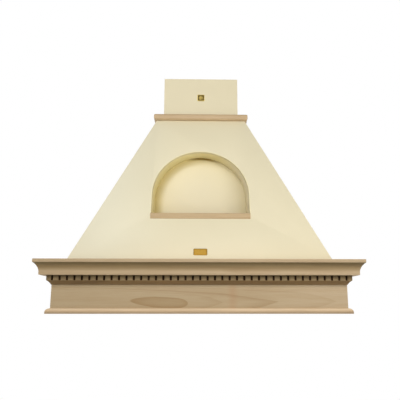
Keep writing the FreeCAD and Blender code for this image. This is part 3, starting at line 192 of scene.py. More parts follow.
def only(piece):
    """Select one piece alone."""
    if bpy.context.mode != "OBJECT":
        bpy.ops.object.mode_set(mode="OBJECT")
    bpy.ops.object.select_all(action="DESELECT")
    piece.select_set(True)
    bpy.context.view_layer.objects.active = piece


def dress(piece, body, slot, finish, *nodes):
    """Give a finished piece its material and its place in the frame."""
    piece.data.materials.clear()
    piece.data.materials.append(finish)
    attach(piece, body)
    if nodes:
        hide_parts(*nodes)
    return piece


def eased_copy(node, name, ease, skip=None, segments=2, wide=None):
    """A merged copy of a CAD node whose sharp edges are eased, as sandpaper leaves them.

    skip(a, b) says which edges stay sharp. wide is (test, width) for edges rounded more."""
    piece = bpy.data.objects.new(name, frame["nodes"][node].data.copy())
    bpy.context.scene.collection.objects.link(piece)
    only(piece)
    bpy.ops.object.mode_set(mode="EDIT")
    bpy.ops.mesh.select_all(action="SELECT")
    bpy.ops.mesh.remove_doubles(threshold=MERGE_DISTANCE)
    bpy.ops.mesh.dissolve_limited(angle_limit=FLAT_ANGLE)
    for test, width in ([wide] if wide else []) + [(None, ease)]:
        bpy.ops.mesh.select_all(action="DESELECT")
        bpy.ops.mesh.select_mode(type="EDGE")
        bpy.ops.mesh.edges_select_sharp(sharpness=SHARP_ANGLE)
        bpy.ops.object.mode_set(mode="OBJECT")
        points = [v.co.copy() for v in piece.data.vertices]
        for edge in piece.data.edges:
            a, b = points[edge.vertices[0]], points[edge.vertices[1]]
            if (skip and skip(a, b)) or (test and not test(a, b)):
                edge.select = False
        bpy.ops.object.mode_set(mode="EDIT")
        bpy.ops.mesh.bevel(offset=width, segments=segments, affect="EDGES", clamp_overlap=True)
    bpy.ops.object.mode_set(mode="OBJECT")
    bpy.ops.object.shade_smooth_by_angle(angle=SHARP_ANGLE)
    return piece


def start_group(name, inputs, outputs):
    """An empty shader group with its sockets. Gives the tree, the input and the output node."""
    group = bpy.data.node_groups.new(name, "ShaderNodeTree")
    kinds = {"float": "NodeSocketFloat", "colour": "NodeSocketColor", "vector": "NodeSocketVector"}
    for direction, sockets in (("INPUT", inputs), ("OUTPUT", outputs)):
        for socket, kind in sockets:
            group.interface.new_socket(socket, in_out=direction, socket_type=kinds[kind])
    entry = group.nodes.new("NodeGroupInput")
    exit_node = group.nodes.new("NodeGroupOutput")
    return group, entry.outputs, exit_node.inputs


def stretched(tree, vector, along, across):
    """Coordinates drawn out along X, for what runs with the grain or the brushing."""
    factors = (along, across, across)
    return add_node(tree, "VectorMath", {0: vector, 1: factors}, operation="MULTIPLY").outputs[0]


def noise(tree, vector, along=1.0, across=1.0, detail=2.0, roughness=0.5):
    """The value of a noise texture on coordinates drawn out along X."""
    inputs = {"Vector": stretched(tree, vector, along, across), "Scale": 1.0, "Detail": detail,
              "Roughness": roughness}
    return add_node(tree, "TexNoise", inputs).outputs["Fac"]


def remap(tree, value, low, high, to_low=0.0, to_high=1.0, smooth=True):
    """A value moved from one range to another and held there."""
    kind = "SMOOTHSTEP" if smooth else "LINEAR"
    inputs = {"Value": value, "From Min": low, "From Max": high, "To Min": to_low, "To Max": to_high}
    return add_node(tree, "MapRange", inputs, interpolation_type=kind).outputs[0]


def maths(tree, operation, a, b=0.0, c=0.0):
    """One sum on two or three values."""
    return add_node(tree, "Math", {0: a, 1: b, 2: c}, operation=operation).outputs[0]


def axes_of(tree, vector):
    """The X, Y and Z of some coordinates, to be picked by name."""
    return add_node(tree, "SeparateXYZ", {0: vector}).outputs


def mix_colour(tree, share, first, second, blend="MIX"):
    """Two colours mixed by a share."""
    made = add_node(tree, "Mix", data_type="RGBA", blend_type=blend)
    for index, value in ((0, share), (6, first), (7, second)):
        if isinstance(value, bpy.types.NodeSocket):
            tree.links.new(value, made.inputs[index])
        else:
            made.inputs[index].default_value = value
    return made.outputs[2]


SKIN_OUTPUTS = [("Color", "colour"), ("Roughness", "float"), ("Height", "float")]
wood_group, given, result = start_group(
    "planed_wood",
    [("Vector", "vector"), ("Pale", "colour"), ("Dark", "colour"), ("Rings", "float"), ("Strength", "float")],
    SKIN_OUTPUTS)
tree = wood_group
field = noise(tree, given["Vector"], 0.9, 8.0, 2.0, 0.45)
ring = maths(tree, "FRACT", maths(tree, "MULTIPLY", field, given["Rings"]))
rise = remap(tree, ring, 0.15, 0.93, 0.0, 1.0, False)
fall = remap(tree, ring, 0.94, 1.0, 1.0, 0.0, False)
late = maths(tree, "MULTIPLY", maths(tree, "POWER", rise, 2.2), fall)
bands = remap(tree, noise(tree, given["Vector"], 3.0, 48.0, 4.0, 0.6), 0.34, 0.68)
streaks = remap(tree, noise(tree, given["Vector"], 9.0, 240.0, 3.0, 0.6), 0.36, 0.70)
fibres = noise(tree, given["Vector"], 40.0, 1300.0, 2.0, 0.6)
flecks = remap(tree, noise(tree, given["Vector"], 75.0, 1500.0, 1.0, 0.5), 0.63, 0.74)
depth = 0.0
for part, weight in ((late, 0.34), (bands, 0.26), (streaks, 0.20), (fibres, 0.22), (flecks, 0.16)):
    depth = maths(tree, "MULTIPLY_ADD", part, weight, depth)
depth = maths(tree, "MULTIPLY", depth, given["Strength"])
tree.links.new(mix_colour(tree, depth, given["Pale"], given["Dark"]), result["Color"])
tree.links.new(remap(tree, fibres, 0.3, 0.7, 0.56, 0.72), result["Roughness"])
tree.links.new(maths(tree, "SUBTRACT", fibres, flecks), result["Height"])


def start_material(name, metallic=0.0, **constants):
    """A material with a Principled shader whose plain numbers sit on its own sockets."""
    made = bpy.data.materials.new(name)
    made.use_nodes = True
    made.node_tree.nodes.clear()
    values = {"Metallic": metallic}
    values.update({key.replace("_", " "): value for key, value in constants.items()})
    shader = add_node(made.node_tree, "BsdfPrincipled", values)
    add_node(made.node_tree, "OutputMaterial", {"Surface": shader.outputs[0]})
    return made, made.node_tree, shader.inputs


def turned_place(tree, turn, shift):
    """Object coordinates turned and shifted, so that a pattern runs as wanted on this piece."""
    inputs = {"Vector": own_place(tree), "Location": shift, "Rotation": turn}
    return add_node(tree, "Mapping", inputs).outputs[0]


def use_group(tree, group, **inputs):
    """One placed copy of a shader group."""
    made = tree.nodes.new("ShaderNodeGroup")
    made.node_tree = group
    for name, value in inputs.items():
        if isinstance(value, bpy.types.NodeSocket):
            tree.links.new(value, made.inputs[name])
        else:
            made.inputs[name].default_value = value
    return made.outputs


def raise_relief(tree, height, shader, strength, distance):
    """Feed a height to the shader's normal through a bump."""
    inputs = {"Height": height, "Strength": strength, "Distance": distance}
    tree.links.new(add_node(tree, "Bump", inputs).outputs[0], shader["Normal"])


ALONG_X = (0, 0, 0)
ALONG_Y = (0, 0, math.pi / 2)
ALONG_Z = (0, math.pi / 2, 0)


def coated(name, group, turn, shift, relief, metallic=0.0, **inputs):
    """A material whose colour, roughness and relief all come from one shader group.

    relief is its strength and height. Gives the material, its tree, its shader and the colour."""
    made, tree, shader = start_material(name, metallic)
    skin = use_group(tree, group, Vector=turned_place(tree, turn, shift), **inputs)
    tree.links.new(skin["Color"], shader["Base Color"])
    tree.links.new(skin["Roughness"], shader["Roughness"])
    raise_relief(tree, skin["Height"], shader, *relief)
    return made, tree, shader, skin["Color"]


def raw_wood(name, turn, shift, rings=5.0, strength=1.0, pale=PALE_WOOD, dark=DARK_WOOD):
    """Unfinished sanded wood with its grain along one axis."""
    return coated(name, wood_group, turn, shift, (0.35, 0.00025), Pale=pale, Dark=dark, Rings=rings,
                  Strength=strength)


# Painted light: a colour made darker or lighter from one level to another, as shade or highlight.
painted_light_group, given, result = start_group(
    "painted_light_by_level", [("Vector", "vector"), ("Color", "colour"), ("Low", "float"), ("High", "float"),
                      ("Tone", "colour")], [("Color", "colour")])
tree = painted_light_group
level = axes_of(tree, given["Vector"])["Z"]
share = remap(tree, level, given["Low"], given["High"])
tree.links.new(mix_colour(tree, share, given["Color"], given["Tone"], "MULTIPLY"), result["Color"])


def wood_with_painted_light(name, turn, shift, rings, strength, pale, dark, steps):
    """Raw wood with painted shade and painted highlight, darker or lighter from level to level.

    A step is the level where it starts, the one where it is full, and its tone."""
    made, tree, shader, colour = raw_wood(name, turn, shift, rings, strength, pale, dark)
    place = own_place(tree)
    for low, high, tone in steps:
        colour = use_group(tree, painted_light_group, Vector=place, Color=colour, Low=low, High=high,
                           Tone=(*tone, 1))["Color"]
    tree.links.new(colour, shader["Base Color"])
    return made, tree, shader, colour


EYE_CENTRE, EYE_DROP = (-0.150, 0.0415), 0.050
EYE_HALF = (0.106, 0.0195)
EYE_TIP, EYE_BLUNT = 1.35, 4.5
EYE_EDGE, EYE_HEART = (0.90, 1.03), 0.60
EYE_BROWN = (0.76, 0.67, 0.53, 1)
WAVER_UP, WAVER_ALONG = 0.006, 0.05
ARCH_RISE, ARCH_POWER = 0.045, 5.0
LINE_BACK, LINE_FRONT, LINE_POWER = -0.004, 0.002, 1.2
ARCHES = (
    # tip along and up, slope above and below, flare, fade behind the line, strength
    (0.288, 0.0435, 6.6, 3.0, 0.230, 0.110, 0.95),
    (0.505, 0.0440, 3.2, 3.1, 0.230, 0.130, 0.45),
    (0.085, 0.0400, 2.4, 3.0, 0.330, 0.060, 0.50),
)
ARCH_BROWN = (0.84, 0.775, 0.69, 1)
RED_PATCH = (0.119, 0.026)
RED_TINT = (0.98, 0.90, 0.86, 1)
# Painted light: the board grows lighter and cooler towards its right end.
PAINTED_LIGHT_END = (0.16, 0.46)
PAINTED_LIGHT_TINT = (1.10, 1.12, 1.18, 1)


def times(tree, first, *others):
    """The product of several values."""
    for other in others:
        first = maths(tree, "MULTIPLY", first, other)
    return first


FRIEZE_PALE = (0.492, 0.382, 0.234, 1)
front_wood, tree, shader, colour = raw_wood("frieze_front_wood", ALONG_X, (0.31, 0, 0.12), 0.0, 0.95,
                                            FRIEZE_PALE)
place = own_place(tree)
waver = maths(tree, "SUBTRACT", noise(tree, place, 5.0, 22.0, 3.0, 0.5), 0.5)
spots = axes_of(tree, place)
along, level = spots["X"], maths(tree, "MULTIPLY_ADD", waver, WAVER_UP, spots["Z"])
for tip, height, above, below, flare, fade, strength in ARCHES:
    rise = maths(tree, "SUBTRACT", level, height)
    sloped = maths(tree, "MAXIMUM", times(tree, rise, above), times(tree, rise, -below))
    spread = maths(tree, "DIVIDE", maths(tree, "ABSOLUTE", rise), ARCH_RISE)
    reach = maths(tree, "MULTIPLY_ADD", maths(tree, "POWER", spread, ARCH_POWER), flare, sloped)
    wavy = maths(tree, "MULTIPLY_ADD", waver, WAVER_ALONG, reach)
    order = maths(tree, "ADD", maths(tree, "SUBTRACT", along, tip), wavy)
    filled = maths(tree, "POWER", remap(tree, order, -fade, LINE_BACK, 0.0, 1.0, False), LINE_POWER)
    edge = times(tree, filled, remap(tree, order, LINE_BACK, LINE_FRONT, 1.0, 0.0), strength)
    colour = mix_colour(tree, edge, colour, ARCH_BROWN, "MULTIPLY")
from_eye = maths(tree, "SUBTRACT", along, EYE_CENTRE[0])
eye_x = maths(tree, "DIVIDE", from_eye, EYE_HALF[0])
tilted = maths(tree, "SUBTRACT", maths(tree, "MULTIPLY_ADD", from_eye, EYE_DROP, level), EYE_CENTRE[1])
eye_z = maths(tree, "ABSOLUTE", maths(tree, "DIVIDE", tilted, EYE_HALF[1]))
blunt = remap(tree, eye_x, -0.4, 0.5, EYE_TIP, EYE_BLUNT)
lengthways = maths(tree, "POWER", maths(tree, "ABSOLUTE", eye_x), blunt)
eye = maths(tree, "ADD", lengthways, times(tree, eye_z, eye_z))
inside = times(tree, remap(tree, eye, *EYE_EDGE, 1.0, 0.0), remap(tree, eye, 0.2, 0.95, EYE_HEART, 1.0))
colour = mix_colour(tree, inside, colour, EYE_BROWN, "MULTIPLY")
# Painted light towards the right end of the board.
colour = mix_colour(tree, remap(tree, along, *PAINTED_LIGHT_END), colour, PAINTED_LIGHT_TINT, "MULTIPLY")
near = maths(tree, "ABSOLUTE", maths(tree, "SUBTRACT", along, RED_PATCH[0]))
colour = mix_colour(tree, remap(tree, near, 0.0, RED_PATCH[1], 1.0, 0.0), colour, RED_TINT, "MULTIPLY")
tree.links.new(colour, shader["Base Color"])


def on_mitre(offset):
    """A test for edges in the mitre at either front corner, where |x| + y makes this offset."""
    return lambda a, b: all(abs(abs(p.x) + p.y - offset) < MITRE_SLACK for p in (a, b))


def board(node, name, slot, finish, ease, skip=None, segments=2, wide=None):
    """A fixed CAD board or moulding with its edges eased and its finish on."""
    return dress(eased_copy(node, name, ease, skip, segments, wide), "hood", slot, finish, node)


def three_sides(stem, ending, slot, finishes, ease, mitre, segments=2):
    """The front, left and right lengths that meet at the two front corners."""
    for part, finish in zip(("front", "left", "right"), finishes):
        board(stem + part, stem + part + ending, slot, finish, ease, on_mitre(mitre), segments)


def front_and_side(make, stem, front_shift, side_shift, *details):
    """The woods of the front length and of the two side ones, each with its grain lengthways."""
    front = make(stem + "_wood", ALONG_X, front_shift, *details)[0]
    side = make(stem + "_side_wood", ALONG_Y, side_shift, *details)[0]
    return front, side, side


FRAME_MITRE, MITRE_SLACK = 0.100, 0.0002
side_wood, *_ = raw_wood("frieze_side_wood", ALONG_Y, (0.7, 0.2, 0.4), 3.0)
three_sides("frieze_", "_board", "raw_wood", (front_wood, side_wood, side_wood), FRIEZE_EASE, FRAME_MITRE)

# ------------------------------------------------------------------ base moulding
# A small rounded moulding of the same wood, glued and pinned along the lower edge of the
# frieze boards and mitred at the corners.
NOSING_EASE = 0.0006
NOSING_PALE = (0.680, 0.490, 0.300, 1)
# Painted light: the lower face darker as painted shade, the rounded top lighter as a painted highlight.
NOSING_PAINTED_LIGHT = (
    (0.0095, 0.0070, (0.75, 0.76, 0.78)),
    (0.0105, 0.0150, (1.14, 1.24, 1.38)),
)
nosing_wood = front_and_side(wood_with_painted_light, "base_moulding", (0.2, 0.5, 0.3), (0.1, 0.9, 0.3), 3.0, 0.9,
                             NOSING_PALE, DARK_WOOD, NOSING_PAINTED_LIGHT)
three_sides("base_moulding_", "_length", "raw_wood", nosing_wood, NOSING_EASE, FRAME_MITRE)

# ------------------------------------------------------------------ dentil moulding
# A band of wood coloured darker than the frieze, partly as painted shade from the crown, with
# square notches milled across it, and a shallow cove below, planted on the frieze under the
# crown. The notches leave a row of small blocks.
DENTIL_EASE = 0.0004
DENTIL_PALE = (0.600, 0.440, 0.235, 1)
DENTIL_DARK = (0.320, 0.215, 0.100, 1)
DENTIL_TOP, DENTIL_MIDDLE, DENTIL_LOW = 0.1375, 0.1205, 0.1190
# Painted shade: the blocks darker towards the top under the crown, and the cove below them darker still.
DENTIL_PAINTED_SHADE = (
    (DENTIL_MIDDLE, DENTIL_TOP - 0.002, (0.30, 0.29, 0.22)),
    (DENTIL_LOW, DENTIL_LOW - 0.001, (0.49, 0.41, 0.29)),
)
BLOCK_SIDE, BLOCK_FRONT = 0.558, 0.458
NOTCH_START, NOTCH_DEEP, NOTCH_SHARP = -0.0010, -0.0030, 0.0002
# Painted shade: the recesses of the notches coloured dark.
NOTCH_PAINTED_SHADE = (0.20, 0.13, 0.05, 1)
notch_group, given, result = start_group(
    "shaded_notches", [("Vector", "vector"), ("Color", "colour")], [("Color", "colour")])
tree = notch_group
spots = axes_of(tree, given["Vector"])
beside = maths(tree, "SUBTRACT", maths(tree, "ABSOLUTE", spots["X"]), BLOCK_SIDE)
ahead = maths(tree, "SUBTRACT", maths(tree, "MULTIPLY", spots["Y"], -1.0), BLOCK_FRONT)
sunk = remap(tree, maths(tree, "MAXIMUM", beside, ahead), NOTCH_START, NOTCH_DEEP)
over = remap(tree, spots["Z"], DENTIL_LOW - NOTCH_SHARP, DENTIL_LOW + NOTCH_SHARP)
notch = times(tree, sunk, over)
tree.links.new(mix_colour(tree, notch, given["Color"], NOTCH_PAINTED_SHADE, "MULTIPLY"), result["Color"])


def shaded_dentil_wood(name, turn, shift):
    """The moulding's wood with painted shade in its notches, on the blocks under the crown and on the cove
    below.
    """
    made, tree, shader, colour = wood_with_painted_light(name, turn, shift, 4.0, 1.0, DENTIL_PALE, DENTIL_DARK,
                                            DENTIL_PAINTED_SHADE)
    colour = use_group(tree, notch_group, Vector=own_place(tree), Color=colour)["Color"]
    tree.links.new(colour, shader["Base Color"])
    return made, tree, shader, colour


dentil_wood = front_and_side(shaded_dentil_wood, "dentil", (0.9, 0.1, 0.7), (0.4, 0.3, 0.2))
three_sides("dentil_moulding_", "_band", "raw_wood", dentil_wood, DENTIL_EASE, FRAME_MITRE, 1)

# ------------------------------------------------------------------ crown moulding
# A wide cove moulding of the same wood that caps the frame: a flat fascia above a long hollow,
# mitred at the corners, glued and pinned to the frieze.
CROWN_EASE = 0.0009
FASCIA_LOW, COVE_MIDDLE, COVE_FOOT = 0.1815, 0.1660, 0.1460
# Painted shade: the hollow darker from its foot up to the fascia. The last step brings the fascia back to the
# plain wood.
CROWN_PAINTED_SHADE = (
    (COVE_FOOT, COVE_MIDDLE, (0.64, 0.59, 0.44)),
    (COVE_MIDDLE, FASCIA_LOW - 0.001, (0.60, 0.62, 0.50)),
    (FASCIA_LOW - 0.0008, FASCIA_LOW, (2.60, 2.73, 4.55)),
)
crown_wood = front_and_side(wood_with_painted_light, "crown", (0.05, 0.6, 0.9), (0.8, 0.4, 0.6), 3.0, 0.9, PALE_WOOD,
                            DARK_WOOD, CROWN_PAINTED_SHADE)
three_sides("crown_", "_length", "raw_wood", crown_wood, CROWN_EASE, FRAME_MITRE)

# ------------------------------------------------------------------ painted pyramid
# Three veneered boards that lean in to the neck, mitred, filled and sprayed with cream satin
# paint. The front one has the arched opening, its rim rounded by the paint.
CREAM, CREAM_CLOUD = (0.800, 0.735, 0.530, 1), (0.70, 0.62, 0.42, 1)
PANEL_EASE = 0.0008
OPENING_ROUND, RIM_SIDE, RIM_FOOT, RIM_HEAD = 0.0042, 0.1935, 0.3800, 0.660
LEAN_FOOT = Vector((0.4945, -0.442, 0.1935))
LEAN_HEAD = Vector((0.189, -0.259, 0.812))

paint_group, given, result = start_group(
    "sprayed_paint", [("Vector", "vector"), ("Paint", "colour")],
    SKIN_OUTPUTS)
tree = paint_group
cloud = noise(tree, given["Vector"], 5.0, 5.0, 3.0, 0.55)
flow = noise(tree, given["Vector"], 110.0, 110.0, 2.0, 0.5)
peel = noise(tree, given["Vector"], 650.0, 650.0, 2.0, 0.5)
worn = mix_colour(tree, remap(tree, cloud, 0.35, 0.7, 0.0, 0.09), given["Paint"], CREAM_CLOUD)
tree.links.new(worn, result["Color"])
tree.links.new(remap(tree, flow, 0.3, 0.7, 0.44, 0.52), result["Roughness"])
tree.links.new(maths(tree, "MULTIPLY_ADD", flow, 1.4, peel), result["Height"])


def cream_paint(name, shift, paint=CREAM):
    """Cream satin paint over a smooth board."""
    made, tree, shader, colour = coated(name, paint_group, ALONG_X, shift, (0.12, 0.00012), Paint=paint)
    shader["Coat Roughness"].default_value = 0.4
    return made, tree, shader, colour


LEAN_RISE = LEAN_HEAD - LEAN_FOOT
FRONT_FACING = Vector((0, -LEAN_RISE.z, LEAN_RISE.y)).normalized()
SIDE_FACING = Vector((LEAN_RISE.z, 0, -LEAN_RISE.x)).normalized()
LEAN_NORMAL = (FRONT_FACING - SIDE_FACING).normalized()


def on_lean_mitre(a, b):
    """True for an edge in the sloping mitre between the front and a side panel."""
    return all(abs((Vector((abs(p.x), p.y, p.z)) - LEAN_FOOT).dot(LEAN_NORMAL)) < 0.0003 for p in (a, b))


def on_arch_rim(a, b):
    """True for the front rim of the arched opening above the shelf."""
    lean = (LEAN_HEAD.y - LEAN_FOOT.y) / (LEAN_HEAD.z - LEAN_FOOT.z)
    for p in (a, b):
        face = LEAN_FOOT.y + lean * (p.z - LEAN_FOOT.z)
        if abs(p.y - face) > 0.0004 or abs(p.x) > RIM_SIDE or not RIM_FOOT < p.z < RIM_HEAD:
            return False
    return True


ARCH_SPRING, ARCH_RADIUS = 0.464, 0.1925
arch_group, given, result = start_group("arch_distance", [("Vector", "vector")], [("Inwards", "float")])
tree = arch_group
spots = axes_of(tree, given["Vector"])
above = maths(tree, "MAXIMUM", maths(tree, "SUBTRACT", spots["Z"], ARCH_SPRING), 0.0)
flat = add_node(tree, "CombineXYZ", {0: spots["X"], 2: above}).outputs[0]
radius = add_node(tree, "VectorMath", {0: flat}, operation="LENGTH").outputs["Value"]
tree.links.new(maths(tree, "SUBTRACT", ARCH_RADIUS, radius), result["Inwards"])

SHELF_TOP = 0.381
# Painted highlight: a lighter band round the rounded rim of the arch, above the shelf.
RIM_HIGHLIGHT_BAND, RIM_HIGHLIGHT = (-0.0060, -0.0015), (1.05, 1.05, 0.97, 1)
# Painted light: the left part of the panel paler and cooler, as if lit more from the left.
PAINTED_LIGHT_SIDE = (-0.42, -0.05)
PAINTED_LIGHT_SIDE_TINT = (1.04, 1.08, 1.17, 1)
panel_paint, tree, shader, colour = cream_paint("panel_paint", (0, 0, 0))
place = own_place(tree)
spots = axes_of(tree, place)
colour = mix_colour(tree, remap(tree, spots["X"], *PAINTED_LIGHT_SIDE, 1.0, 0.0), colour, PAINTED_LIGHT_SIDE_TINT, "MULTIPLY")
inwards = use_group(tree, arch_group, Vector=place)["Inwards"]
over_shelf = remap(tree, spots["Z"], SHELF_TOP - 0.001, SHELF_TOP)
rim = times(tree, remap(tree, inwards, *RIM_HIGHLIGHT_BAND), over_shelf)
colour = mix_colour(tree, rim, colour, RIM_HIGHLIGHT, "MULTIPLY")
tree.links.new(colour, shader["Base Color"])
board("shell_front", "pyramid_front", "painted_wood", panel_paint, PANEL_EASE, on_lean_mitre, 3,
      (on_arch_rim, OPENING_ROUND))
for part in ("left", "right"):
    board("shell_" + part, "pyramid_" + part, "painted_wood", panel_paint, PANEL_EASE, on_lean_mitre)

# ------------------------------------------------------------------ niche
# A bent plywood liner follows the arch back to a flat board. Both are painted with the panel,
# with painted shade inside the niche.
# The shelf is a raw board let into the front, with its front edge rounded over.
LINER_EASE = 0.0005
# Painted shade: the liner yellower over its left side and top, and creamier on the lit right jamb.
LINER_SHADE_YELLOW, LINER_LIT_CREAM, LINER_SHADE_CHANGE = (0.96, 0.87, 0.48, 1), (0.94, 0.89, 0.70, 1), (0.06, 0.17)
BACK_CREAM = (0.80, 0.735, 0.53, 1)
# Painted shade: the back darker and yellower along the arch and jambs, most on the left.
CORNER_SHADE, CORNER_SHADE_DEPTH, CORNER_SHADE_CHANGE = (0.90, 0.84, 0.58, 1), 0.045, (0.09, -0.06)
# Painted shade: a dark crescent on the back just under the top of the arch.
CRESCENT_SHADE, CRESCENT_MIDDLE = (0.36, 0.27, 0.08, 1), 0.012
CRESCENT_LENGTH, CRESCENT_DEPTH, CRESCENT_RISE = (0.015, 0.085), (0.004, 0.013), 0.1
liner_paint, tree, shader, colour = cream_paint("niche_liner_paint", (0.3, 0.7, 0.2), LINER_SHADE_YELLOW)
along = axes_of(tree, own_place(tree))["X"]
colour = mix_colour(tree, remap(tree, along, *LINER_SHADE_CHANGE), colour, LINER_LIT_CREAM)
tree.links.new(colour, shader["Base Color"])
board("niche_arch", "niche_arch_liner", "niche_wood", liner_paint, LINER_EASE)
back_paint, tree, shader, colour = cream_paint("niche_back_paint", (0.6, 0.1, 0.8), BACK_CREAM)
place = own_place(tree)
spots = axes_of(tree, place)
inwards = use_group(tree, arch_group, Vector=place)["Inwards"]
leftwards = maths(tree, "MULTIPLY_ADD", remap(tree, spots["X"], *CORNER_SHADE_CHANGE), 0.8, 0.2)
edge = times(tree, remap(tree, inwards, 0.0, CORNER_SHADE_DEPTH, 1.0, 0.0), leftwards)
colour = mix_colour(tree, edge, colour, CORNER_SHADE, "MULTIPLY")
aside = maths(tree, "ABSOLUTE", maths(tree, "SUBTRACT", spots["X"], CRESCENT_MIDDLE))
crescent = times(tree, remap(tree, inwards, *CRESCENT_DEPTH, 1.0, 0.0),
                 remap(tree, aside, *CRESCENT_LENGTH, 1.0, 0.0),
                 remap(tree, spots["Z"], ARCH_SPRING, ARCH_SPRING + CRESCENT_RISE))
colour = mix_colour(tree, crescent, colour, CRESCENT_SHADE, "MULTIPLY")
tree.links.new(colour, shader["Base Color"])
board("niche_back", "niche_back_board", "niche_wood", back_paint, LINER_EASE)
SHELF_PALE = (0.575, 0.435, 0.255, 1)
shelf_wood, *_ = raw_wood("shelf_wood", ALONG_X, (0.6, 0.25, 0.45), 4.0, 0.85, SHELF_PALE)
board("niche_shelf", "niche_shelf_board", "raw_wood", shelf_wood, LINER_EASE)

# ------------------------------------------------------------------ collar
# A raw wood moulding round the neck, rounded above and bevelled below, mitred at the corners
# and scribed to the chimney.
COLLAR_EASE = 0.0006
COLLAR_MITRE = -0.0730
COLLAR_PALE = (0.640, 0.485, 0.300, 1)
collar_wood = front_and_side(raw_wood, "collar", (0.45, 0.8, 0.15), (0.35, 0.6, 0.25), 4.0, 0.85, COLLAR_PALE)
three_sides("collar_", "_length", "raw_wood", collar_wood, COLLAR_EASE, COLLAR_MITRE)

# ------------------------------------------------------------------ chimney
# A three-sided box of boards painted like the pyramid, open to the wall. A bent strip of
# galvanised steel inside ties it back to the wall.
CHIMNEY_MITRE = -0.090
# Painted shade: the pyramid's cream made darker for the upright chimney, which takes less light.
CHIMNEY_SHADED_CREAM = (0.735, 0.665, 0.465, 1)
chimney_paint, *_ = cream_paint("chimney_paint", (0.9, 0.1, 0.5), CHIMNEY_SHADED_CREAM)
three_sides("chimney_", "_board", "painted_wood", (chimney_paint,) * 3, PANEL_EASE, CHIMNEY_MITRE)

# ------------------------------------------------------------------ brass plate
# A thin plate of polished brass with rounded corners and a fine raised border, left bare and
# pinned to the foot of the front panel with two small domed pins.
PLATE_WIDTH, PLATE_HEIGHT, PLATE_THICK = 0.052, 0.0265, 0.0016
PLATE_MIDDLE = 0.225
PLATE_CORNER = 0.004
BORDER_INSET, BORDER_WIDTH, BORDER_SINK = 0.0016, 0.0009, 0.00045
PIN_APART, PIN_RADIUS = 0.043, 0.0012
EDGE_BREAK = 0.0002
WELD_DISTANCE = 0.000002
PIN_SUNK, PIN_CUT, PIN_FLATTEN = 0.0004, 0.0005, 0.5


def faces_where(piece, test):
    """In edit mode, select only the faces whose middle and normal pass a test."""
    bpy.ops.mesh.select_mode(type="FACE")
    bpy.ops.mesh.select_all(action="DESELECT")
    bpy.ops.object.mode_set(mode="OBJECT")
    for face in piece.data.polygons:
        face.select = bool(test(face.center, face.normal))
    bpy.ops.object.mode_set(mode="EDIT")


def edges_where(piece, test):
    """In edit mode, select only the edges whose two ends pass a test."""
    bpy.ops.mesh.select_mode(type="EDGE")
    bpy.ops.mesh.select_all(action="DESELECT")
    bpy.ops.object.mode_set(mode="OBJECT")
    ends = [vertex.co for vertex in piece.data.vertices]
    for edge in piece.data.edges:
        edge.select = bool(test(ends[edge.vertices[0]], ends[edge.vertices[1]]))
    bpy.ops.object.mode_set(mode="EDIT")


def bevel_edges(piece, width, segments, test):
    """In edit mode, round the edges that pass a test."""
    edges_where(piece, test)
    bpy.ops.mesh.bevel(offset=width, segments=segments, affect="EDGES", clamp_overlap=True)


def block(name, low, high):
    """A cube added between two corners, as the start of a piece, left in edit mode."""
    bpy.ops.object.select_all(action="DESELECT")
    middle = [(a + b) / 2 for a, b in zip(low, high)]
    bpy.ops.mesh.primitive_cube_add(size=1, location=middle)
    piece = bpy.context.active_object
    piece.name = name
    piece.scale = [b - a for a, b in zip(low, high)]
    bpy.ops.object.transform_apply(location=True, rotation=True, scale=True)
    bpy.ops.object.mode_set(mode="EDIT")
    return piece


def settle(piece, angle=SHARP_ANGLE):
    """Close a piece's seams, turn its faces outwards and smooth what isn't a sharp edge."""
    only(piece)
    bpy.ops.object.mode_set(mode="EDIT")
    bpy.ops.mesh.select_all(action="SELECT")
    bpy.ops.mesh.remove_doubles(threshold=WELD_DISTANCE)
    bpy.ops.mesh.normals_make_consistent(inside=False)
    bpy.ops.object.mode_set(mode="OBJECT")
    bpy.ops.object.shade_smooth_by_angle(angle=angle)
    return piece


def joined(pieces):
    """Several finished pieces made one, under the first one's name."""
    only(pieces[0])
    for piece in pieces:
        piece.select_set(True)
    bpy.ops.object.join()
    return pieces[0]


def placed(piece, location, rotation=(0, 0, 0)):
    """Turn and move a piece, then write its place into its mesh."""
    only(piece)
    piece.location = location
    piece.rotation_euler = rotation
    bpy.ops.object.transform_apply(location=True, rotation=True, scale=True)
    return piece


def stepped_in(*steps):
    """In edit mode, inset the selected faces time after time, each time by a width and a depth."""
    for width, depth in steps:
        bpy.ops.mesh.inset(thickness=width, depth=depth)


def upright_plate(name, width, height, thick, corner):
    """A plate facing the front with its back at the origin and rounded corners, in edit mode."""
    piece = block(name, (-width / 2, -thick, -height / 2), (width / 2, 0, height / 2))
    bevel_edges(piece, corner, 6, lambda a, b: abs(a.y - b.y) > thick / 2)
    return piece


metal_group, given, result = start_group(
    "brushed_metal", [("Vector", "vector"), ("Along", "float"), ("Across", "float"), ("Pale", "colour"),
                      ("Dark", "colour"), ("Rough", "float")], SKIN_OUTPUTS)
tree = metal_group
factors = add_node(tree, "CombineXYZ", {0: given["Along"], 1: given["Across"], 2: given["Across"]}).outputs[0]
line = add_node(tree, "VectorMath", {0: given["Vector"], 1: factors}, operation="MULTIPLY").outputs[0]
brush = noise(tree, line, 1.0, 1.0, 4.0, 0.6)
cloud = noise(tree, given["Vector"], 11.0, 11.0, 3.0, 0.6)
share = remap(tree, maths(tree, "MULTIPLY_ADD", brush, 0.6, maths(tree, "MULTIPLY", cloud, 0.4)), 0.35, 0.65)
tree.links.new(mix_colour(tree, share, given["Pale"], given["Dark"]), result["Color"])
both = maths(tree, "MULTIPLY_ADD", cloud, 0.5, maths(tree, "MULTIPLY", brush, 0.5))
spread = remap(tree, both, 0.3, 0.7, -0.08, 0.08)
tree.links.new(maths(tree, "ADD", given["Rough"], spread), result["Roughness"])
tree.links.new(brush, result["Height"])


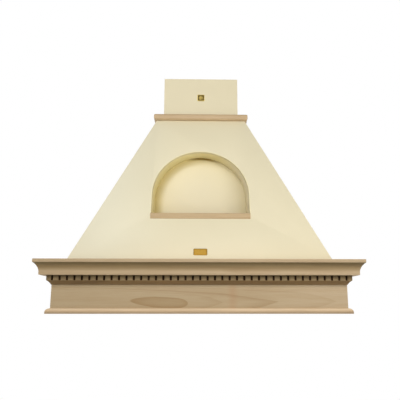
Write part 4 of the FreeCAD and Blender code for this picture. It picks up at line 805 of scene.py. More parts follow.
def metal(name, pale, dark, rough, metallic=1.0, turn=ALONG_X, along=3.0, across=900.0):
    """Bare metal with fine brushing along one axis."""
    return coated(name, metal_group, turn, (0, 0, 0), (0.25, 0.00006), metallic, Along=along, Across=across,
                  Pale=pale, Dark=dark, Rough=rough)


lean_back = math.atan2(LEAN_RISE.y, LEAN_RISE.z)
plate = upright_plate("bare_brass_plate", PLATE_WIDTH, PLATE_HEIGHT, PLATE_THICK, PLATE_CORNER)
faces_where(plate, lambda c, n: n.y < -0.9 and abs(c.y + PLATE_THICK) < 0.0001)
stepped_in((BORDER_INSET, 0), (BORDER_WIDTH * 0.4, -BORDER_SINK), (BORDER_WIDTH, 0),
           (BORDER_WIDTH * 0.4, BORDER_SINK))
bevel_edges(plate, EDGE_BREAK, 2, lambda a, b: abs(a.y - b.y) < 1e-6 and abs(a.y + PLATE_THICK) < 1e-6
            and (abs(abs(a.x) - PLATE_WIDTH / 2) < PLATE_CORNER * 0.02
                 or abs(abs(a.z) - PLATE_HEIGHT / 2) < 1e-5))
settle(plate)
pins = []
for side in (-1, 1):
    bpy.ops.object.select_all(action="DESELECT")
    bpy.ops.mesh.primitive_uv_sphere_add(segments=20, ring_count=10, radius=PIN_RADIUS,
                                         location=(side * PIN_APART / 2, -PLATE_THICK + PIN_SUNK, 0))
    pins.append(bpy.context.active_object)
    bpy.ops.object.mode_set(mode="EDIT")
    bpy.ops.mesh.select_all(action="SELECT")
    bpy.ops.mesh.bisect(plane_co=(0, -PLATE_THICK + PIN_CUT, 0), plane_no=(0, 1, 0), clear_outer=True,
                        use_fill=True)
    bpy.ops.transform.resize(value=(1, PIN_FLATTEN, 1), center_override=(0, -PLATE_THICK + PIN_SUNK, 0))
    settle(pins[-1])
plate = joined([plate] + pins)
plate_face = LEAN_FOOT.y + LEAN_RISE.y / LEAN_RISE.z * (PLATE_MIDDLE - LEAN_FOOT.z)
placed(plate, (0, plate_face, PLATE_MIDDLE), (-lean_back, 0, 0))
BRASS, BRASS_SHADE = (0.49, 0.295, 0.050, 1), (0.34, 0.20, 0.032, 1)
TARNISH, TARNISH_SHARE = (0.22, 0.115, 0.03, 1), (0.12, 0.42)
BORDER_TINT, BORDER_BAND = (0.60, 0.62, 0.50, 1), (-0.0045, -0.0005)
brass_finish, tree, shader, colour = metal("polished_brass", BRASS, BRASS_SHADE, 0.30)
place = own_place(tree)
tarnish = remap(tree, noise(tree, place, 1100.0, 1100.0, 3.0, 0.65), 0.42, 0.66, *TARNISH_SHARE)
colour = mix_colour(tree, tarnish, colour, TARNISH)
spots = axes_of(tree, place)
beside = maths(tree, "SUBTRACT", maths(tree, "ABSOLUTE", spots["X"]), PLATE_WIDTH / 2)
level = maths(tree, "ABSOLUTE", maths(tree, "SUBTRACT", spots["Z"], PLATE_MIDDLE))
outwards = maths(tree, "MAXIMUM", beside, maths(tree, "SUBTRACT", level, PLATE_HEIGHT / 2))
rim = remap(tree, outwards, *BORDER_BAND)
tree.links.new(mix_colour(tree, rim, colour, BORDER_TINT, "MULTIPLY"), shader["Base Color"])
dress(plate, "hood", "brass", brass_finish, "brass_plate")

# ------------------------------------------------------------------ chimney badge
# A small square cast brass badge with a rim and a plain eight-petal rosette, its hollows
# darkened with age. It is pinned to the front of the chimney.
BADGE_WIDTH, BADGE_HEIGHT, BADGE_THICK = 0.0305, 0.0295, 0.002
BADGE_MIDDLE = 0.921
CHIMNEY_FACE = -0.250
BADGE_CORNER, BADGE_RIM, BADGE_SINK = 0.003, 0.0022, 0.0011
PETALS, PETAL_SIZE, PETAL_REACH, ROSETTE_LIFT = 8, (1.9, 0.8, 4.1), 0.0066, 0.0010
BOSS_SIZE = (2.6, 0.95, 2.6)
badge = upright_plate("rosette_badge", BADGE_WIDTH, BADGE_HEIGHT, BADGE_THICK, BADGE_CORNER)
faces_where(badge, lambda c, n: n.y < -0.9)
stepped_in((BADGE_RIM, 0), (0.0004, -BADGE_SINK))
settle(badge)
petals = []
for index in range(PETALS):
    bpy.ops.object.select_all(action="DESELECT")
    bpy.ops.mesh.primitive_uv_sphere_add(segments=16, ring_count=10, radius=0.001)
    petal = bpy.context.active_object
    petal.scale = PETAL_SIZE
    turn = 2 * math.pi * index / PETALS
    placed(petal, (PETAL_REACH * math.sin(turn), -ROSETTE_LIFT, PETAL_REACH * math.cos(turn)), (0, turn, 0))
    petals.append(settle(petal))
bpy.ops.object.select_all(action="DESELECT")
bpy.ops.mesh.primitive_uv_sphere_add(segments=20, ring_count=10, radius=0.001)
bpy.context.active_object.scale = BOSS_SIZE
petals.append(settle(placed(bpy.context.active_object, (0, -ROSETTE_LIFT, 0))))
badge = placed(joined([badge] + petals), (0, CHIMNEY_FACE, BADGE_MIDDLE))
AGED, AGED_SHADE = (0.56, 0.44, 0.13, 1), (0.34, 0.24, 0.06, 1)
PATINA, PATINA_FROM, PATINA_TO = (0.030, 0.021, 0.006, 1), 0.0016, 0.0009
aged_brass, tree, shader, colour = metal("aged_brass", AGED, AGED_SHADE, 0.36, 0.9)
depth = axes_of(tree, own_place(tree))["Y"]
hollow = remap(tree, depth, CHIMNEY_FACE - PATINA_FROM, CHIMNEY_FACE - PATINA_TO)
tree.links.new(mix_colour(tree, hollow, colour, PATINA), shader["Base Color"])
dress(badge, "hood", "brass", aged_brass, "chimney_badge")

# ------------------------------------------------------------------ carcass timber
# The rail, decks, blocks, battens and bearer that hold the boards together and to the wall:
# plain softwood, sawn and lightly planed, glued and screwed, out of sight in use.
SOFTWOOD, SOFTWOOD_DARK = (0.640, 0.470, 0.275, 1), (0.430, 0.280, 0.140, 1)
KNOT_BROWN = (0.16, 0.085, 0.04, 1)


def recoat(node, finish):
    """Give a CAD node that keeps its own shape a better finish."""
    for held in frame["nodes"][node].material_slots:
        held.material = finish


knot_group, given, result = start_group(
    "softwood_knots", [("Vector", "vector"), ("Color", "colour")], [("Color", "colour")])
tree = knot_group
knots = add_node(tree, "TexVoronoi", {"Vector": stretched(tree, given["Vector"], 4.0, 11.0), "Scale": 1.0})
knot = remap(tree, knots.outputs["Distance"], 0.05, 0.10, 0.8, 0.0)
tree.links.new(mix_colour(tree, knot, given["Color"], KNOT_BROWN), result["Color"])


def sawn_wood(name, turn, shift):
    """Softwood with wide growth bands and knots."""
    made, tree, shader, colour = raw_wood(name, turn, shift, 7.0, 1.1, SOFTWOOD, SOFTWOOD_DARK)
    knotted = use_group(tree, knot_group, Vector=turned_place(tree, turn, shift), Color=colour)
    tree.links.new(knotted["Color"], shader["Base Color"])
    return made


timber = {"x": sawn_wood("softwood_along_x", ALONG_X, (0.2, 0.1, 0.3)),
          "y": sawn_wood("softwood_along_y", ALONG_Y, (0.5, 0.7, 0.1)),
          "z": sawn_wood("softwood_along_z", ALONG_Z, (0.4, 0.2, 0.8))}
for run, nodes in (
    ("x", ("back_rail", "neck_rail_back", "shelf_bearer", "plate_ledgers")),
    ("y", ("deck_left", "deck_right", "neck_rail_left", "neck_rail_right")),
    ("z", ("corner_blocks", "wall_batten_left", "wall_batten_right")),
):
    for node in nodes:
        recoat(node, timber[run])

# ------------------------------------------------------------------ chimney bracket
# A strip of galvanised steel, bent to a shallow channel and drilled. It is screwed to the wall
# and the chimney sides are screwed to its ends.
zinc_group, given, result = start_group(
    "zinc_spangle", [("Vector", "vector"), ("Pale", "colour"), ("Dark", "colour")],
    SKIN_OUTPUTS)
tree = zinc_group
crystal = add_node(tree, "TexVoronoi", {"Vector": given["Vector"], "Scale": 90.0}).outputs["Color"]
crystal = axes_of(tree, crystal)["X"]
cloud = noise(tree, given["Vector"], 14.0, 14.0, 3.0, 0.6)
scratch = noise(tree, given["Vector"], 30.0, 1400.0, 2.0, 0.5)
share = maths(tree, "MULTIPLY_ADD", crystal, 0.55, maths(tree, "MULTIPLY", cloud, 0.45))
tree.links.new(mix_colour(tree, share, given["Pale"], given["Dark"]), result["Color"])
tree.links.new(remap(tree, share, 0.1, 0.9, 0.34, 0.56), result["Roughness"])
tree.links.new(scratch, result["Height"])


def zinc_sheet(name, shift, pale=(0.66, 0.67, 0.68, 1), dark=(0.46, 0.47, 0.49, 1)):
    """Hot-dip galvanised sheet with its crystal pattern."""
    return coated(name, zinc_group, ALONG_X, shift, (0.2, 0.00005), 0.85, Pale=pale, Dark=dark)[0]


zinc = zinc_sheet("galvanised_sheet", (0, 0, 0))
recoat("chimney_bracket", zinc)

# ------------------------------------------------------------------ underside plate
# One sheet of brushed stainless steel screwed up to the ledgers, cut out for the filters, the
# lamps and the controls, with bent lugs that carry the filter pins.
STAINLESS, STAINLESS_SHADE = (0.64, 0.63, 0.61, 1), (0.50, 0.49, 0.47, 1)
steel_finish, *_ = metal("brushed_stainless", STAINLESS, STAINLESS_SHADE, 0.33)
recoat("underside_plate", steel_finish)

# ------------------------------------------------------------------ plate screws
# Eight zinc plated pan-head screws with a cross recess, driven up through the plate.
SCREW_HEAD, SCREW_SHANK = 0.004, 0.00175
SCREW_LOW, SCREW_SEAT, SCREW_TIP = 0.028, 0.030, 0.045
SCREW_DOME = [(0.0036, 0.02856), (0.0027, 0.02817), (0.0014, SCREW_LOW)]
SCREW_PLACES = [(x, -0.410) for x in (-0.360, -0.120, 0.120, 0.360)]
SCREW_PLACES += [(x, -0.240) for x in (-0.510, 0.510)] + [(x, -0.032) for x in (-0.360, 0.360)]
RECESS_REACH, RECESS_HALF, RECESS_DEPTH, RECESS_TAPER = 0.0019, 0.00042, 0.0011, (0.55, 0.6, 1)


def turned(name, profile, count=48):
    """A round piece about the z axis: a circle extruded and resized from step to step."""
    bpy.ops.object.select_all(action="DESELECT")
    (radius, level), *rest = profile
    bpy.ops.mesh.primitive_circle_add(vertices=count, radius=radius, location=(0, 0, level))
    piece = bpy.context.active_object
    piece.name = name
    bpy.ops.object.transform_apply(location=True, rotation=True, scale=True)
    bpy.ops.object.mode_set(mode="EDIT")
    bpy.ops.mesh.select_all(action="SELECT")
    for new_radius, new_level in rest:
        bpy.ops.mesh.extrude_region_move(TRANSFORM_OT_translate={"value": (0, 0, new_level - level)})
        factor = new_radius / radius
        bpy.ops.transform.resize(value=(factor, factor, 1), center_override=(0, 0, new_level))
        radius, level = new_radius, new_level
    bpy.ops.mesh.select_all(action="SELECT")
    bpy.ops.mesh.remove_doubles(threshold=WELD_DISTANCE)
    bpy.ops.mesh.select_all(action="DESELECT")
    bpy.ops.mesh.select_mode(type="EDGE")
    bpy.ops.mesh.select_non_manifold(extend=False)
    bpy.ops.mesh.fill_holes(sides=0)
    return settle(piece)


def moved_copy(piece, shift, name=None):
    """A copy with its own mesh, moved."""
    twin = piece.copy()
    twin.data = piece.data.copy()
    twin.name = name or piece.name
    bpy.context.scene.collection.objects.link(twin)
    twin.data.transform(Matrix.Translation(shift))
    return twin


def put_away(piece):
    """Take a pattern piece out of the scene once its copies are made."""
    bpy.data.objects.remove(piece, do_unlink=True)


def set_out(pattern, places, name, finish=None):
    """Copies of a pattern piece at each of these places, made one, with the pattern put away."""
    copies = [moved_copy(pattern, (x, y, 0)) for x, y in places]
    put_away(pattern)
    whole = joined([finish(item) for item in copies] if finish else copies)
    whole.name = name
    return whole


screw = turned("plate_screw", [(SCREW_SHANK, SCREW_TIP), (SCREW_SHANK, SCREW_SEAT), (SCREW_HEAD, SCREW_SEAT),
                               (SCREW_HEAD, SCREW_SEAT - 0.0007)] + SCREW_DOME, 24)
cutters = []
for turn in (0, math.pi / 2):
    cutter = block("cross_recess", (-RECESS_REACH, -RECESS_HALF, SCREW_LOW - 0.001),
                   (RECESS_REACH, RECESS_HALF, SCREW_LOW + RECESS_DEPTH))
    faces_where(cutter, lambda c, n: n.z > 0.9)
    bpy.ops.transform.resize(value=RECESS_TAPER, center_override=(0, 0, SCREW_LOW))
    bpy.ops.object.mode_set(mode="OBJECT")
    cutters.append(placed(cutter, (0, 0, 0), (0, 0, turn)))
for cutter in cutters:
    only(screw)
    cut = screw.modifiers.new("cross", "BOOLEAN")
    cut.object = cutter
    cut.solver = "EXACT"
    bpy.ops.object.modifier_apply(modifier=cut.name)
    put_away(cutter)
screws = set_out(screw, SCREW_PLACES, "plate_screw_set", settle)
ZINC_PLATE, ZINC_PLATE_SHADE = (0.68, 0.67, 0.62, 1), (0.48, 0.47, 0.43, 1)
screw_finish, *_ = metal("zinc_plated_steel", ZINC_PLATE, ZINC_PLATE_SHADE, 0.30, along=300.0, across=700.0)
dress(screws, "hood", "screw_steel", screw_finish, "plate_screws")

# ------------------------------------------------------------------ grease filters
# Two cassettes of folded aluminium: a channel frame round layers of stretched mesh, with a
# pressed grip in front and two pins behind that hang in the plate's lugs.
FILTER_MIDDLE, FILTER_HALF = 0.140, 0.131
FILTER_FRONT, FILTER_PIVOT, FILTER_BACK = -0.363, -0.067, -0.0625
FILTER_LOW, FILTER_HIGH = 0.0225, 0.0315
FILTER_RIM = 0.014
CHANNEL_LIP, CHANNEL_DEPTH = 0.0011, 0.010
PIN_REACH, PIN_SIZE, PIN_LENGTH, PIN_LEVEL = 0.1355, 0.002, 0.0085, 0.027
GRIP_HALF, GRIP_THICK, GRIP_LOW = 0.035, 0.003, 0.0135
GRIP_TUCK, GRIP_ROUND = 0.0015, 0.0035
BACK_ROUND, FRONT_ROUND, EDGE_MARGIN = 0.0042, 0.0008, 0.012
# each layer's level, its openings across and along, and its wire
MESH_LAYERS = ((0.0252, 22, 34, 0.0011), (0.0272, 27, 29, 0.0010), (0.0291, 22, 34, 0.0011))
MESH_TUCK = 0.006
left_edge, right_edge = FILTER_MIDDLE - FILTER_HALF, FILTER_MIDDLE + FILTER_HALF
cassette = block("filter_cassette", (left_edge, FILTER_FRONT, FILTER_LOW),
                 (right_edge, FILTER_BACK, FILTER_HIGH))
faces_where(cassette, lambda c, n: abs(n.z) > 0.9)
bpy.ops.mesh.inset(thickness=FILTER_RIM, depth=0)
bpy.ops.mesh.bridge_edge_loops()
bevel_edges(cassette, BACK_ROUND, 5, lambda a, b: abs(a.z - b.z) < 1e-6
            and abs(a.y - FILTER_BACK) < 1e-5 and abs(b.y - FILTER_BACK) < 1e-5)
bevel_edges(cassette, FRONT_ROUND, 2,
            lambda a, b: abs(a.y - FILTER_FRONT) < 1e-5 and abs(b.y - FILTER_FRONT) < 1e-5)
faces_where(cassette, lambda c, n: abs(n.z) < 0.1 and left_edge + EDGE_MARGIN < c.x < right_edge - EDGE_MARGIN
            and FILTER_FRONT + EDGE_MARGIN < c.y < FILTER_BACK - EDGE_MARGIN)
bpy.ops.mesh.inset(thickness=CHANNEL_LIP, depth=0)
bpy.ops.mesh.extrude_region_shrink_fatten(TRANSFORM_OT_shrink_fatten={"value": -CHANNEL_DEPTH})
settle(cassette)
parts = [cassette]
for level, across, along, wire in MESH_LAYERS:
    bpy.ops.object.select_all(action="DESELECT")
    bpy.ops.mesh.primitive_grid_add(x_subdivisions=across, y_subdivisions=along, size=1)
    sheet = bpy.context.active_object
    sheet.scale = (2 * (FILTER_HALF - FILTER_RIM + MESH_TUCK),
                   FILTER_BACK - FILTER_FRONT - 2 * FILTER_RIM + 2 * MESH_TUCK, 1)
    placed(sheet, (FILTER_MIDDLE, (FILTER_FRONT + FILTER_BACK) / 2, level))
    bpy.ops.object.mode_set(mode="EDIT")
    bpy.ops.mesh.select_all(action="SELECT")
    bpy.ops.mesh.poke()
    edges_where(sheet, lambda a, b: abs(a.x - b.x) < 1e-6 or abs(a.y - b.y) < 1e-6)
    bpy.ops.mesh.dissolve_edges(use_verts=False)
    bpy.ops.object.mode_set(mode="OBJECT")
    strands = sheet.modifiers.new("strands", "WIREFRAME")
    strands.thickness = wire
    strands.use_even_offset = False
    strands.use_boundary = True
    bpy.ops.object.modifier_apply(modifier=strands.name)
    parts.append(settle(sheet, math.radians(60)))
for side in (-1, 1):
    pin = turned("filter_pin", [(PIN_SIZE, 0.0), (PIN_SIZE, 0.0080), (PIN_SIZE - 0.0003, PIN_LENGTH)], 20)
    placed(pin, (FILTER_MIDDLE + side * (PIN_REACH - PIN_LENGTH), FILTER_PIVOT, PIN_LEVEL),
           (0, side * math.pi / 2, 0))
    parts.append(pin)
grip = block("filter_grip", (FILTER_MIDDLE - GRIP_HALF, FILTER_FRONT, GRIP_LOW),
             (FILTER_MIDDLE + GRIP_HALF, FILTER_FRONT + GRIP_THICK, FILTER_LOW + GRIP_TUCK))
bevel_edges(grip, GRIP_ROUND, 5, lambda a, b: abs(a.z - GRIP_LOW) < 1e-6 and abs(b.z - GRIP_LOW) < 1e-6
            and abs(a.y - b.y) > 0.001)
faces_where(grip, lambda c, n: n.y < -0.9)
stepped_in((0.0022, 0), (0.0006, -0.0007))
bevel_edges(grip, 0.0004, 2, lambda a, b: a.z < FILTER_LOW and b.z < FILTER_LOW and abs(a.y - b.y) < 1e-6
            and abs(abs(a.y) - abs(FILTER_FRONT)) < 1e-6 and not (abs(a.x - FILTER_MIDDLE) < GRIP_HALF - 0.003
                                                                  and a.z > GRIP_LOW + 0.001))
parts.append(settle(grip))
cassette = joined(parts)
DULL, DULL_SHADE = (0.71, 0.71, 0.71, 1), (0.54, 0.54, 0.545, 1)
aluminium, *_ = metal("dull_aluminium", DULL, DULL_SHADE, 0.38, 0.95, along=12.0, across=700.0)
for label, shift in (("left", -2 * FILTER_MIDDLE), ("right", 0.0)):
    piece = moved_copy(cassette, (shift, 0, 0), "filter_cassette_" + label)
    dress(piece, "filter_" + label, "filter_mesh", aluminium, "filter_" + label)
put_away(cassette)

# ------------------------------------------------------------------ lamps
# A pressed chrome ring with a dished reflector on each side, and a frosted glass lens pushed
# up into it.
LAMP_PLACES = ((-0.3975, -0.200), (0.3975, -0.200))
# radius and level, from the rim of the ring round its flange and up over the reflector
RING_PROFILE = (
    (0.0250, 0.0292), (0.0253, 0.0284), (0.0262, 0.0280), (0.0335, 0.0281), (0.0348, 0.0288),
    (0.0350, 0.0300), (0.0300, 0.0300), (0.0300, 0.0508), (0.0288, 0.0520), (0.0060, 0.0520),
    (0.0060, 0.0500), (0.0150, 0.0494), (0.0215, 0.0450), (0.0246, 0.0360), (0.0250, 0.0312),
    (0.0250, 0.0292))
LENS_PROFILE = (
    (0.0040, 0.0309), (0.0244, 0.0309), (0.0248, 0.0305), (0.0248, 0.0296), (0.0236, 0.0287),
    (0.0190, 0.0283), (0.0110, 0.0281), (0.0040, 0.0280))
CHROME, CHROME_SHADE = (0.74, 0.74, 0.73, 1), (0.60, 0.60, 0.60, 1)
DIMPLE_SCALE = 420.0
FROST = (0.28, 0.42)
GLASS_PALE, GLASS_SHADE = (0.90, 0.92, 0.90, 1), (0.82, 0.85, 0.84, 1)
rings = set_out(turned("lamp_ring", RING_PROFILE, 56), LAMP_PLACES, "lamp_ring_pair")
chrome, *_ = metal("satin_chrome", CHROME, CHROME_SHADE, 0.22, along=200.0, across=400.0)
dress(rings, "hood", "lamp_metal", chrome, "lamp_rings")
lenses = set_out(turned("lamp_lens", LENS_PROFILE, 56), LAMP_PLACES, "lamp_lens_pair")
frosted, tree, shader = start_material("frosted_glass", Transmission_Weight=0.75, IOR=1.45)
place = turned_place(tree, ALONG_X, (0, 0, 0))
dimples = add_node(tree, "TexVoronoi", {"Vector": place, "Scale": DIMPLE_SCALE}).outputs["Distance"]
haze = noise(tree, place, 60.0, 60.0, 2.0)
tree.links.new(mix_colour(tree, haze, GLASS_PALE, GLASS_SHADE), shader["Base Color"])
tree.links.new(remap(tree, haze, 0.3, 0.7, *FROST), shader["Roughness"])
raise_relief(tree, dimples, shader, 0.4, 0.0003)
dress(lenses, "hood", "lamp_glass", frosted, "lamp_lenses")

# ------------------------------------------------------------------ controls
# A moulded bezel clipped into the plate, five square push-buttons dished for the fingertip and
# the switch block behind them, with a tiny switch and two tags for each button.
CONTROL_X, CONTROL_Y, BUTTON_PITCH = 0.3975, -0.345, 0.024
BUTTON_HALF, BUTTON_FLANGE_HALF = 0.0077, 0.0092
BUTTON_LOW, BUTTON_STEP, BUTTON_TOP = 0.025, 0.0338, 0.0368
BUTTON_DISH = ((0.0022, 0), (0.0012, -0.00035), (0.0014, -0.00025), (0.0012, -0.0001))
BUTTON_ACROSS = [CONTROL_X + (index - 2) * BUTTON_PITCH for index in range(5)]
BASE_HALF, BASE_LOW, BASE_TOP = (0.069, 0.015), 0.045, 0.0485
SWITCH_HALF, SWITCH_LOW, SWITCH_TOP = (0.0098, 0.0125), 0.0484, 0.0545
TAG_OUT, TAG_HALF, TAG_LOW, TAG_TOP = 0.0045, (0.0024, 0.0004), 0.0535, 0.057
plastic_group, given, result = start_group(
    "moulded_plastic", [("Vector", "vector"), ("Tone", "colour")], SKIN_OUTPUTS)
tree = plastic_group
cloud = noise(tree, given["Vector"], 25.0, 25.0, 2.0, 0.5)
leather = add_node(tree, "TexVoronoi", {"Vector": given["Vector"], "Scale": 1800.0}).outputs["Distance"]
tree.links.new(mix_colour(tree, cloud, given["Tone"], (0.5, 0.5, 0.5, 1), "SOFT_LIGHT"), result["Color"])
tree.links.new(remap(tree, cloud, 0.3, 0.7, 0.42, 0.54), result["Roughness"])
tree.links.new(leather, result["Height"])


def moulded(name, tone, shift=(0, 0, 0)):
    """Moulded plastic with a fine spark texture."""
    return coated(name, plastic_group, ALONG_X, shift, (0.25, 0.0001), Tone=tone)[0]


bezel_plastic = moulded("bezel_plastic", (0.055, 0.055, 0.058, 1))
board("control_bezel", "control_bezel_moulding", "control_plastic", bezel_plastic, 0.0004)
button = block("push_button", (-BUTTON_HALF, -BUTTON_HALF, BUTTON_LOW),
               (BUTTON_HALF, BUTTON_HALF, BUTTON_STEP))
faces_where(button, lambda c, n: n.z > 0.9)
bpy.ops.mesh.extrude_region_move(TRANSFORM_OT_translate={"value": (0, 0, 0)})
bpy.ops.transform.resize(value=(BUTTON_FLANGE_HALF / BUTTON_HALF, BUTTON_FLANGE_HALF / BUTTON_HALF, 1),
                         center_override=(0, 0, BUTTON_STEP))
bpy.ops.mesh.extrude_region_move(TRANSFORM_OT_translate={"value": (0, 0, BUTTON_TOP - BUTTON_STEP)})
faces_where(button, lambda c, n: n.z < -0.9 and c.z < BUTTON_LOW + 0.0001)
stepped_in(*BUTTON_DISH)
bevel_edges(button, 0.0014, 4, lambda a, b: abs(a.z - b.z) > 0.005)
bevel_edges(button, 0.0006, 3, lambda a, b: all(
    abs(p.z - BUTTON_LOW) < 1e-6 and max(abs(p.x), abs(p.y)) > BUTTON_HALF - 0.0008 for p in (a, b)))
settle(button)
button_plastic = moulded("button_plastic", (0.52, 0.52, 0.50, 1), (0.3, 0.2, 0.1))
for index, x in enumerate(BUTTON_ACROSS, 1):
    piece = moved_copy(button, (x, CONTROL_Y, 0), f"push_button_{index}")
    dress(piece, f"button_{index}", "button_plastic", button_plastic, f"button_{index}")
put_away(button)
base = block("switch_base", (CONTROL_X - BASE_HALF[0], CONTROL_Y - BASE_HALF[1], BASE_LOW),
             (CONTROL_X + BASE_HALF[0], CONTROL_Y + BASE_HALF[1], BASE_TOP))
bevel_edges(base, 0.0006, 2, lambda a, b: min(a.z, b.z) > BASE_TOP - 0.0005)
settle(base)
housing = block("tiny_switch", (-SWITCH_HALF[0], -SWITCH_HALF[1], SWITCH_LOW), (*SWITCH_HALF, SWITCH_TOP))
bevel_edges(housing, 0.0007, 2, lambda a, b: max(a.z, b.z) > SWITCH_TOP - 0.0005)
faces_where(housing, lambda c, n: n.z > 0.9)
stepped_in((0.0012, 0), (0.0003, -0.0005))
tags = [settle(housing)]
for side in (-1, 1):
    tag = block("switch_tag", (side * TAG_OUT - TAG_HALF[0], -TAG_HALF[1], TAG_LOW),
                (side * TAG_OUT + TAG_HALF[0], TAG_HALF[1], TAG_TOP))
    bevel_edges(tag, 0.0009, 3, lambda a, b: min(a.z, b.z) > TAG_TOP - 0.0005 and abs(a.y - b.y) > 0.0005)
    tags.append(settle(tag))
housing = joined(tags)
switches = joined([base] + [moved_copy(housing, (x, CONTROL_Y, 0)) for x in BUTTON_ACROSS])
put_away(housing)
switches.name = "switch_block_assembly"
switch_plastic = moulded("switch_plastic", (0.10, 0.10, 0.105, 1), (0.5, 0.1, 0.2))
dress(switches, "hood", "control_plastic", switch_plastic, "switch_block")

# ------------------------------------------------------------------ motor box and blower case
# A box of galvanised sheet over the filters, folded and spot welded, and in it the spiral
# blower case of the same sheet.
box_zinc = zinc_sheet("motor_box_sheet", (0.4, 0.3, 0.2))
recoat("motor_box", box_zinc)
recoat("scroll_case", zinc)

# ------------------------------------------------------------------ fan motor
# An enclosed motor with a ribbed cast body and a pressed end bell, bolted to the case by its
# flange. Its ground steel shaft carries the wheel.
FAN_Y, FAN_Z = -0.205, 0.180
MOTOR_END, MOTOR_SHOULDER, MOTOR_CASE, MOTOR_TIP = -0.1635, -0.0855, -0.0815, -0.0375
RIBS, RIB_HALF = 28, 0.0010
BOLTS, BOLT_CIRCLE = 4, 0.052
SHAFT, SHAFT_CHAMFER, SHAFT_TUCK = 0.004, 0.0006, 0.004
MOTOR_ENAMEL, DUST = (0.035, 0.038, 0.042, 1), (0.20, 0.19, 0.17, 1)
# radius and level along the shaft: end bell, ribbed body, flange
bell = [(radius, MOTOR_END + rise) for radius, rise in (
    (0.0040, 0), (0.0150, 0), (0.0155, 0.003), (0.0300, 0.004), (0.0375, 0.0065), (0.0412, 0.011),
    (0.0425, 0.018), (0.0460, 0.018), (0.0460, 0.021), (0.0425, 0.021))]
body = [(radius, MOTOR_SHOULDER + rise) for radius, rise in (
    (0.0425, -0.006), (0.0460, -0.006), (0.0460, 0), (0.0574, 0), (0.0580, 0.0006))]
flange = [(0.0580, MOTOR_CASE - 0.0006), (0.0574, MOTOR_CASE), (0.0040, MOTOR_CASE)]
motor = [turned("motor_shell", bell + body + flange, 56)]
rib = block("motor_rib", (0.0415, -RIB_HALF, MOTOR_END + 0.0205), (0.0458, RIB_HALF, MOTOR_SHOULDER - 0.0055))
bevel_edges(rib, 0.0004, 2, lambda a, b: a.x > 0.045 and b.x > 0.045 and abs(a.z - b.z) > 0.01)
settle(rib)
for index in range(RIBS):
    fin = moved_copy(rib, (0, 0, 0))
    motor.append(placed(fin, (0, 0, 0), (0, 0, 2 * math.pi * index / RIBS)))
put_away(rib)
for index in range(BOLTS):
    turn = 2 * math.pi * (index + 0.5) / BOLTS
    bolt = turned("flange_bolt", [(0.0036, MOTOR_SHOULDER + 0.0004), (0.0036, MOTOR_SHOULDER - 0.0026),
                                  (0.0030, MOTOR_SHOULDER - 0.0032)], 6)
    motor.append(placed(bolt, (BOLT_CIRCLE * math.cos(turn), BOLT_CIRCLE * math.sin(turn), 0)))
motor = placed(joined(motor), (0, FAN_Y, FAN_Z), (0, math.pi / 2, 0))
shaft = turned("motor_shaft", [(SHAFT, MOTOR_CASE - SHAFT_TUCK), (SHAFT, MOTOR_TIP - SHAFT_CHAMFER),
                               (SHAFT - SHAFT_CHAMFER, MOTOR_TIP)], 24)
placed(shaft, (0, FAN_Y, FAN_Z), (0, math.pi / 2, 0))
motor_coat, tree, shader, colour = coated("motor_enamel", plastic_group, ALONG_X, (0.2, 0.5, 0.4),
                                          (0.4, 0.0002), Tone=MOTOR_ENAMEL)
settled = noise(tree, turned_place(tree, ALONG_X, (0, 0, 0)), 40.0, 40.0, 3.0)
dust = remap(tree, settled, 0.5, 0.75, 0.0, 0.25)
tree.links.new(mix_colour(tree, dust, colour, DUST), shader["Base Color"])
motor = joined([motor, shaft])
motor.name = "fan_motor_assembly"
dress(motor, "hood", "motor_paint", motor_coat, "fan_motor")

# ------------------------------------------------------------------ fan wheel
# A drum wheel of pressed steel blades between a disc and a ring, pushed on to the shaft.
wheel_steel, *_ = metal("wheel_steel", (0.60, 0.61, 0.62, 1), (0.42, 0.43, 0.45, 1), 0.36, 0.95)
recoat("impeller", wheel_steel)

# ------------------------------------------------------------------ outlet
# A flanged spigot of galvanised sheet for the duct, with a steel pin across it that carries
# two half-round flaps. They hang shut and the air lifts them.
flap_zinc = zinc_sheet("flap_sheet", (0.7, 0.1, 0.6), (0.72, 0.73, 0.74, 1), (0.54, 0.55, 0.57, 1))
recoat("outlet_spigot", zinc)
recoat("damper_pin", wheel_steel)
recoat("damper_flap_front", flap_zinc)
recoat("damper_flap_rear", flap_zinc)

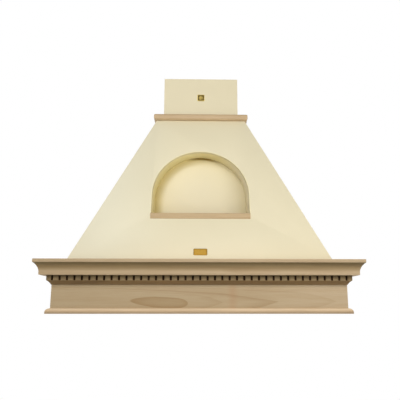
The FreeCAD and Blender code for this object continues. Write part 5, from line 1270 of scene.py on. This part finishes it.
# ------------------------------------------------------------------ cable gland
# A moulded nylon gland in the top of the motor box: a six-sided nut above, a threaded neck
# below, and a clear bore for the mains lead.
GLAND_X, GLAND_Y = -0.115, -0.045
GLAND_BORE, GLAND_NECK, GLAND_NUT = 0.0042, 0.0100, 0.0130
GLAND_LOW, GLAND_SEAT, GLAND_TOP = 0.300, 0.315, 0.320
GLAND_TUBE, GLAND_NUT_HOLE, NUT_SHOULDER, NUT_SLOPE, NUT_DROP = 0.0078, 0.0070, 0.0018, 0.0012, 0.0008
THREADS, THREAD_DEPTH = 9, 0.0006
steps = [(GLAND_BORE, GLAND_LOW), (GLAND_NECK - THREAD_DEPTH, GLAND_LOW)]
pitch = (GLAND_SEAT - GLAND_LOW - 0.001) / THREADS
for index in range(THREADS):
    foot = GLAND_LOW + 0.0004 + index * pitch
    steps += [(GLAND_NECK, foot + pitch / 2), (GLAND_NECK - THREAD_DEPTH, foot + pitch)]
steps += [(GLAND_NECK - THREAD_DEPTH, GLAND_SEAT + 0.001), (GLAND_TUBE, GLAND_SEAT + 0.001),
          (GLAND_TUBE, GLAND_TOP - 0.0005), (GLAND_TUBE - 0.0005, GLAND_TOP), (GLAND_BORE, GLAND_TOP),
          (GLAND_BORE, GLAND_LOW)]
neck = turned("gland_neck", steps, 40)
nut = turned("gland_nut", [
    (GLAND_NUT_HOLE, GLAND_SEAT), (GLAND_NUT, GLAND_SEAT), (GLAND_NUT, GLAND_TOP - NUT_SHOULDER),
    (GLAND_NUT - NUT_SLOPE, GLAND_TOP - NUT_DROP), (GLAND_NUT_HOLE, GLAND_TOP - NUT_DROP),
    (GLAND_NUT_HOLE, GLAND_SEAT)], 6)
bpy.ops.object.mode_set(mode="EDIT")
bevel_edges(nut, 0.0008, 3, lambda a, b: abs(a.z - b.z) > 0.002 and max(a.xy.length, b.xy.length) > 0.012)
bpy.ops.object.mode_set(mode="OBJECT")
gland = placed(joined([settle(neck), settle(nut)]), (GLAND_X, GLAND_Y, 0))
nylon = moulded("gland_nylon", (0.42, 0.42, 0.41, 1), (0.1, 0.4, 0.2))
dress(gland, "hood", "gland_plastic", nylon, "cable_gland")

# ------------------------------------------------------------------ flags
# What each lamp reaches: the high one only the raw wood of the base frame and the floor, the
# two front ones all but that wood. The lamps at the sides and behind reach everything.
for piece in list(bpy.context.scene.objects):
    if piece.type == "MESH":
        wooden_base = piece.name.startswith(("frieze", "crown", "dentil", "base_moulding"))
        if wooden_base or piece == floor:
            lit_from_above.objects.link(piece)
        if not wooden_base:
            lit_from_front.objects.link(piece)
